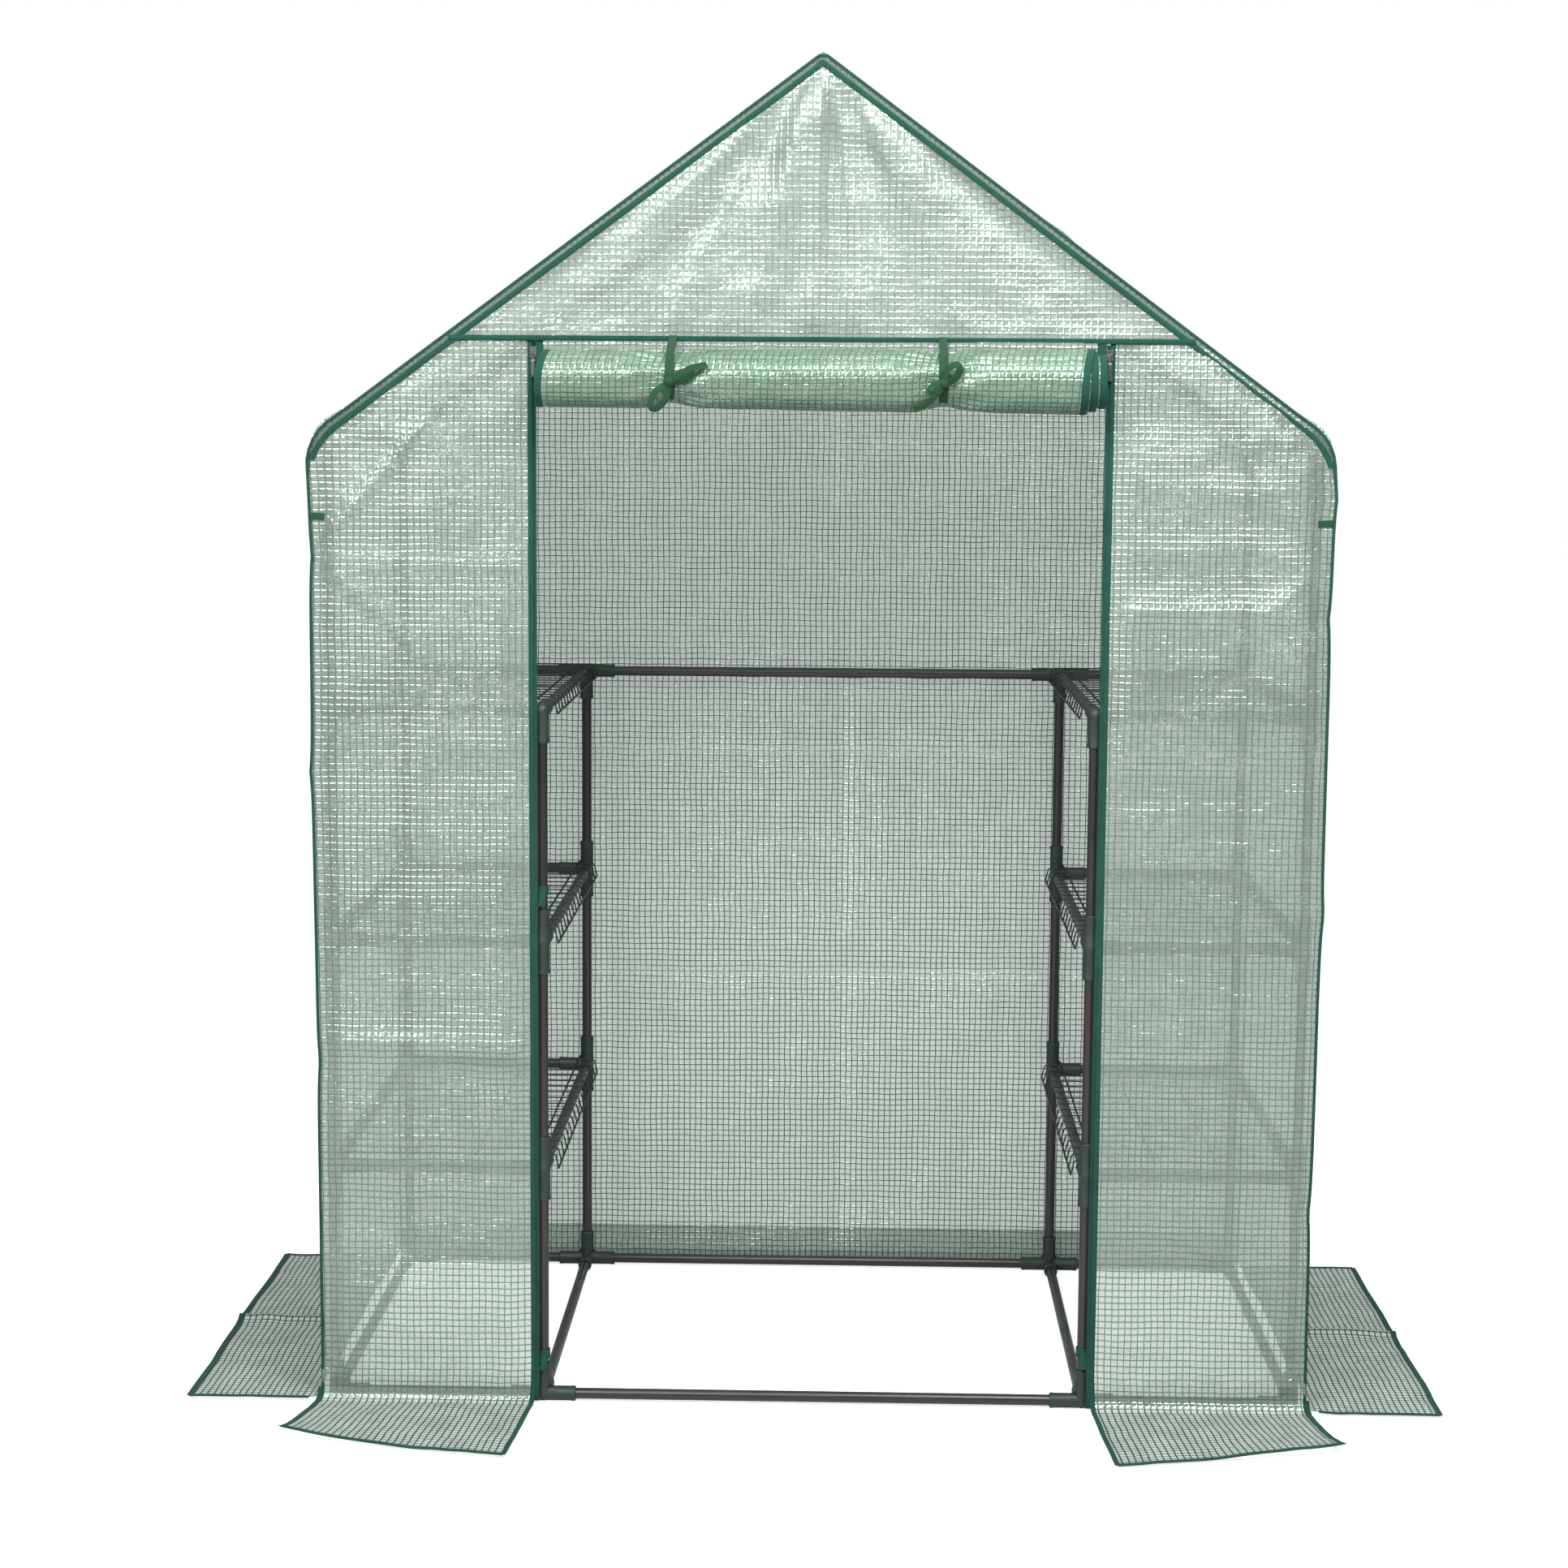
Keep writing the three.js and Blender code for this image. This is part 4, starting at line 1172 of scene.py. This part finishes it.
def spiral(turn, x):
    """A point of the rolled door: turn counts from nought at the core, x is along the roll."""
    share = turn / TURNS
    radius = CORE_R + (roll_radius(x) - CORE_R) * share
    angle = 2 * math.pi * (turn - TURNS)
    outer = eased(share, 0.86, 0.92)
    for tie in TIE_X.values():
        near = np.exp(-((np.abs(x - tie) - 0.034) / 0.030) ** 2) * outer
        radius = radius + near * PUCKER * np.sin(6.5 * angle + 40 * (x - tie))
    radius = radius + outer * 0.0007 * smooth_noise(x, turn * 0.3, 0.06, 91)
    return ROLL.y + radius * np.cos(angle), ROLL.z + radius * np.sin(angle)


def add_roll():
    turn = np.linspace(0, TURNS, int(TURNS * 48))
    width = np.linspace(-1, 1, 110)
    t, w = np.meshgrid(turn, width, indexing="ij")
    half = ROLL_END - TELESCOPE / 2
    x = w * half + telescoped(t / TURNS)
    y, z = spiral(t, x)
    radius = CORE_R + (ROLL_R - CORE_R) * turn[1:] / TURNS
    run = np.concatenate([[0], np.cumsum(np.diff(turn) * 2 * math.pi * radius)])
    coordinates = np.stack([w * half, np.broadcast_to(run[:, None], t.shape)], -1)
    made = cloth("rolled_door_sheet", np.stack([x, y, z], -1), coordinates, ROLL_FILM)
    finish_piece(made, "door", "mesh_sheet", "door_roll")
    squash_roll(made)
    for side_name, side in SIDES.items():
        turn = np.linspace(0.2, TURNS, int(TURNS * 40))
        x = side * (half - 0.004) + telescoped(turn / TURNS)
        y, z = spiral(turn, x)
        route = np.stack([x, y, z], -1)
        edge = add_ribbon(f"rolled_door_{side_name}_binding",
                          [swept(route, tape_section(0.010), (1, 0, 0))], "door")
        squash_roll(edge)


def squash_roll(piece):
    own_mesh(piece)


def add_hanging(name, x_start, x_end, y, material):
    """A strip of the door that hangs from the hem to the back of the roll."""
    x = np.linspace(x_start, x_end, max(4, int(abs(x_end - x_start) / 0.012)))
    z = np.linspace(ROLL.z, HEM_Z - 0.002, 60)
    u, v = np.meshgrid(x, z)
    points = np.stack([u, np.full_like(u, y), v], -1)
    made = cloth(name, points, np.stack([u, v], -1), material)
    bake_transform(made)


def add_door_strip():
    y = ROLL.y + ROLL_R - 0.0035
    left, right = -ROLL_END + 0.004, ROLL_END - 0.007
    add_hanging("door_strip_sheet", left, right, y, STRIP_FILM)
    add_hanging("door_strip_left_binding", left - 0.010, left + 0.002, y + 0.001, TEAL)
    add_hanging("door_strip_right_binding", right - 0.002, right + 0.012, y + 0.001, TEAL)


RIBBON_WIDTH = 0.010
RIBBON_THICK = 0.0012


def tie_ribbon(points, across, width=RIBBON_WIDTH):
    return swept(resampled(points, 0.004), tape_section(width, RIBBON_THICK), across)


def curve_through(points, steps=8):
    """A smooth route through points."""
    points = [np.array(p, float) for p in points]
    padded = [2 * points[0] - points[1]] + points + [2 * points[-1] - points[-2]]
    route = []
    for a, b, c, d in zip(padded, padded[1:], padded[2:], padded[3:]):
        for t in np.linspace(0, 1, steps, endpoint=False):
            route.append(0.5 * (2 * b + (c - a) * t + (2 * a - 5 * b + 4 * c - d) * t ** 2
                                + (3 * b - a - 3 * c + d) * t ** 3))
    return route + [points[-1]]


# Each loop reaches (across, up) from the knot and is so fat, and each tail just reaches.
BOWS = {
    "left": {"loops": [(-0.022, -0.034, 0.0085), (0.030, 0.014, 0.005)],
             "tails": [(0.052, 0.024)]},
    "right": {"loops": [(0.018, 0.024, 0.008), (-0.018, -0.010, 0.005)],
              "tails": [(-0.042, -0.034)]},
}


def flat_on(route):
    """Directions that turn a ribbon's face half towards the front, one for each point."""
    tangents = np.gradient(route, axis=0)
    return np.stack([-tangents[:, 2], np.linalg.norm(tangents, axis=1) * 0.45,
                     tangents[:, 0]], -1)


def bow_ribbon(points):
    route = resampled(curve_through(points), 0.004)
    return swept(route, tape_section(RIBBON_WIDTH, RIBBON_THICK), flat_on(route))


def add_tie(side_name, x):
    """A ribbon that comes from under the hem, round the front of the roll, and ends in a bow."""
    reach = float(roll_radius(np.array(x))) + 0.0040
    strap = [(x, FRONT_Y - 0.004, HEM_Z + 0.004)]
    for degrees in (62, 45, 25, 5, -12, -30, -50):
        angle = math.radians(degrees)
        strap.append((x, ROLL.y - reach * math.cos(angle), ROLL.z + reach * math.sin(angle)))
    knot = np.array([x, ROLL.y - reach - 0.004, ROLL.z - 0.006])
    parts = [tie_ribbon(curve_through(strap), (1, 0, 0), 0.012)]
    parts.append(ball(tuple(knot), 0.0068, 8))
    for far_x, far_z, fat in BOWS[side_name]["loops"]:
        out = np.array([far_x, -0.006, far_z])
        wide = np.array([-far_z, 0, far_x])
        wide = wide / np.linalg.norm(wide) * fat
        parts.append(bow_ribbon([knot, knot + out * 0.55 + wide, knot + out + wide * 0.5,
                                 knot + out - wide * 0.5, knot + out * 0.55 - wide, knot]))
    for far_x, far_z in BOWS[side_name]["tails"]:
        middle_out = np.array([far_x * 0.5, -0.005, far_z * 0.72])
        parts.append(bow_ribbon([knot, knot + middle_out, knot + np.array([far_x, -0.003, far_z])]))
    made = add_ribbon(f"{side_name}_tie_ribbon", parts, "frame", f"{side_name}_door_tie",
                      material=RIBBON)
    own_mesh(made)


TOOTH = 0.0032
TOOTH_HALF = 0.0012
TOOTH_STAND = 0.0014
SLIDER_HEIGHT = 0.016


def boxed(least, most):
    (x0, y0, z0), (x1, y1, z1) = least, most
    vertices = [(x0, y0, z0), (x1, y0, z0), (x1, y1, z0), (x0, y1, z0),
                (x0, y0, z1), (x1, y0, z1), (x1, y1, z1), (x0, y1, z1)]
    faces = [(0, 3, 2, 1), (4, 5, 6, 7), (0, 1, 5, 4), (1, 2, 6, 5), (2, 3, 7, 6), (3, 0, 4, 7)]
    return vertices, faces


def add_zip_tape(side_name):
    """A zip's tape, with its teeth along the edge towards the door."""
    node = f"{side_name}_zip_tape"
    least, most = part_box(node)
    x, y, _ = middle(node)
    width = most.x - least.x
    route = resampled([(x, y, least.z), (x, y, most.z)], 0.02)
    parts = [swept(route, tape_section(width, 0.0010), (1, 0, 0))]
    inner = x - SIDES[side_name] * width * 0.32
    z = least.z + 0.002
    while z < most.z - 0.004:
        parts.append(boxed((inner - TOOTH_HALF, y - TOOTH_STAND, z),
                           (inner + TOOTH_HALF, y + TOOTH_STAND, z + TOOTH * 0.6)))
        z += TOOTH
    made = new_object(f"{node}_teeth", *merged(parts), ZIP, smooth=False)
    finish_piece(made, "frame", "zip_tape", node)


def add_zip_slider(side_name):
    """A slider with a bridge on its front, from which the pull hangs."""
    node = f"{side_name}_zip_slider"
    least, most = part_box(node)
    x, front = middle(node).x, least.y
    split = most.z - SLIDER_HEIGHT
    parts = [
        boxed((least.x, front + 0.001, split), most),
        boxed((x - 0.002, front, split - 0.004), (x + 0.002, front + 0.002, split + 0.010)),
    ]
    body = united(f"{node}_body", parts, ZIP_METAL)
    soften = body.modifiers.new("soften", "BEVEL")
    soften.width = 0.0009
    soften.segments = 2
    finish_piece(body, f"{side_name}_zip", "zip_slider", node)
    tab = resampled([(x, front + 0.0005, split - 0.001), (x, front, least.z + 0.001)], 0.004)
    sweep = swept(tab, tape_section(0.0062, 0.0014), (1, 0, 0))
    pull = new_object(f"{node}_pull", *sweep, ZIP_METAL)
    finish_piece(pull, f"{side_name}_zip", "zip_slider")


def add_frame_tie(name, x, y, z):
    """A short ribbon band that holds the cover to a post, with a loose end."""
    radius = TUBE_R + RIBBON_THICK
    angles = np.linspace(0, 2 * math.pi, 25)
    ring = [(x + radius * math.cos(a), y + radius * math.sin(a), z) for a in angles]
    parts = [swept(ring, tape_section(0.014, RIBBON_THICK), (0, 0, 1))]
    start = np.array([x, y - radius, z])
    drop = np.array([0, -0.3, -1]) * 0.022
    parts.append(tie_ribbon([start, start + drop * 0.5 + (0.002, -0.002, 0), start + drop],
                            (1, 0, 0), 0.009))
    add_ribbon(name, parts)


def add_edge_tab(name, side, z):
    """A ribbon tab sewn over the cover's edge, that ties to the post behind it."""
    y = FRONT_Y - 0.0045
    inner, outer = side * (COVER_X - 0.018), side * (COVER_X + 0.002)
    route = [(inner, y, z), (outer, y, z + 0.001), (side * (COVER_X + 0.004), y + 0.006, z),
             (side * (COVER_X + 0.0035), y + 0.020, z)]
    add_ribbon(name, [tie_ribbon(curve_through(route), (0, 0, 1))], material=RIBBON)


EAVE_TAB_Z = 1.294


def add_frame_ties():
    for name, x, z in (
        ("left_foot_frame_tie", -INNER_X, 0.072),
        ("right_foot_frame_tie", INNER_X, 0.085),
        ("left_tier_frame_tie", -INNER_X, LEVEL_Z[2] + 0.075),
    ):
        add_frame_tie(name, x, -POST_Y, z)
    for name, side in SIDES.items():
        add_edge_tab(f"{name}_eave_tab", side, EAVE_TAB_Z)


# ---- build

add_camera()
add_studio()
add_racks()
add_crossbars()
add_roof_frame()
for shelf_side in SIDES:
    for shelf_index in (1, 2, 3):
        add_shelf(shelf_side, shelf_index)
add_shell()
add_back()
for front_side in SIDES:
    add_front(front_side)
add_gable()
add_bindings()
add_roll()
add_door_strip()
for tie_side in SIDES:
    add_tie(tie_side, TIE_X[tie_side])
for zip_side in SIDES:
    add_zip_tape(zip_side)
    add_zip_slider(zip_side)
add_frame_ties()
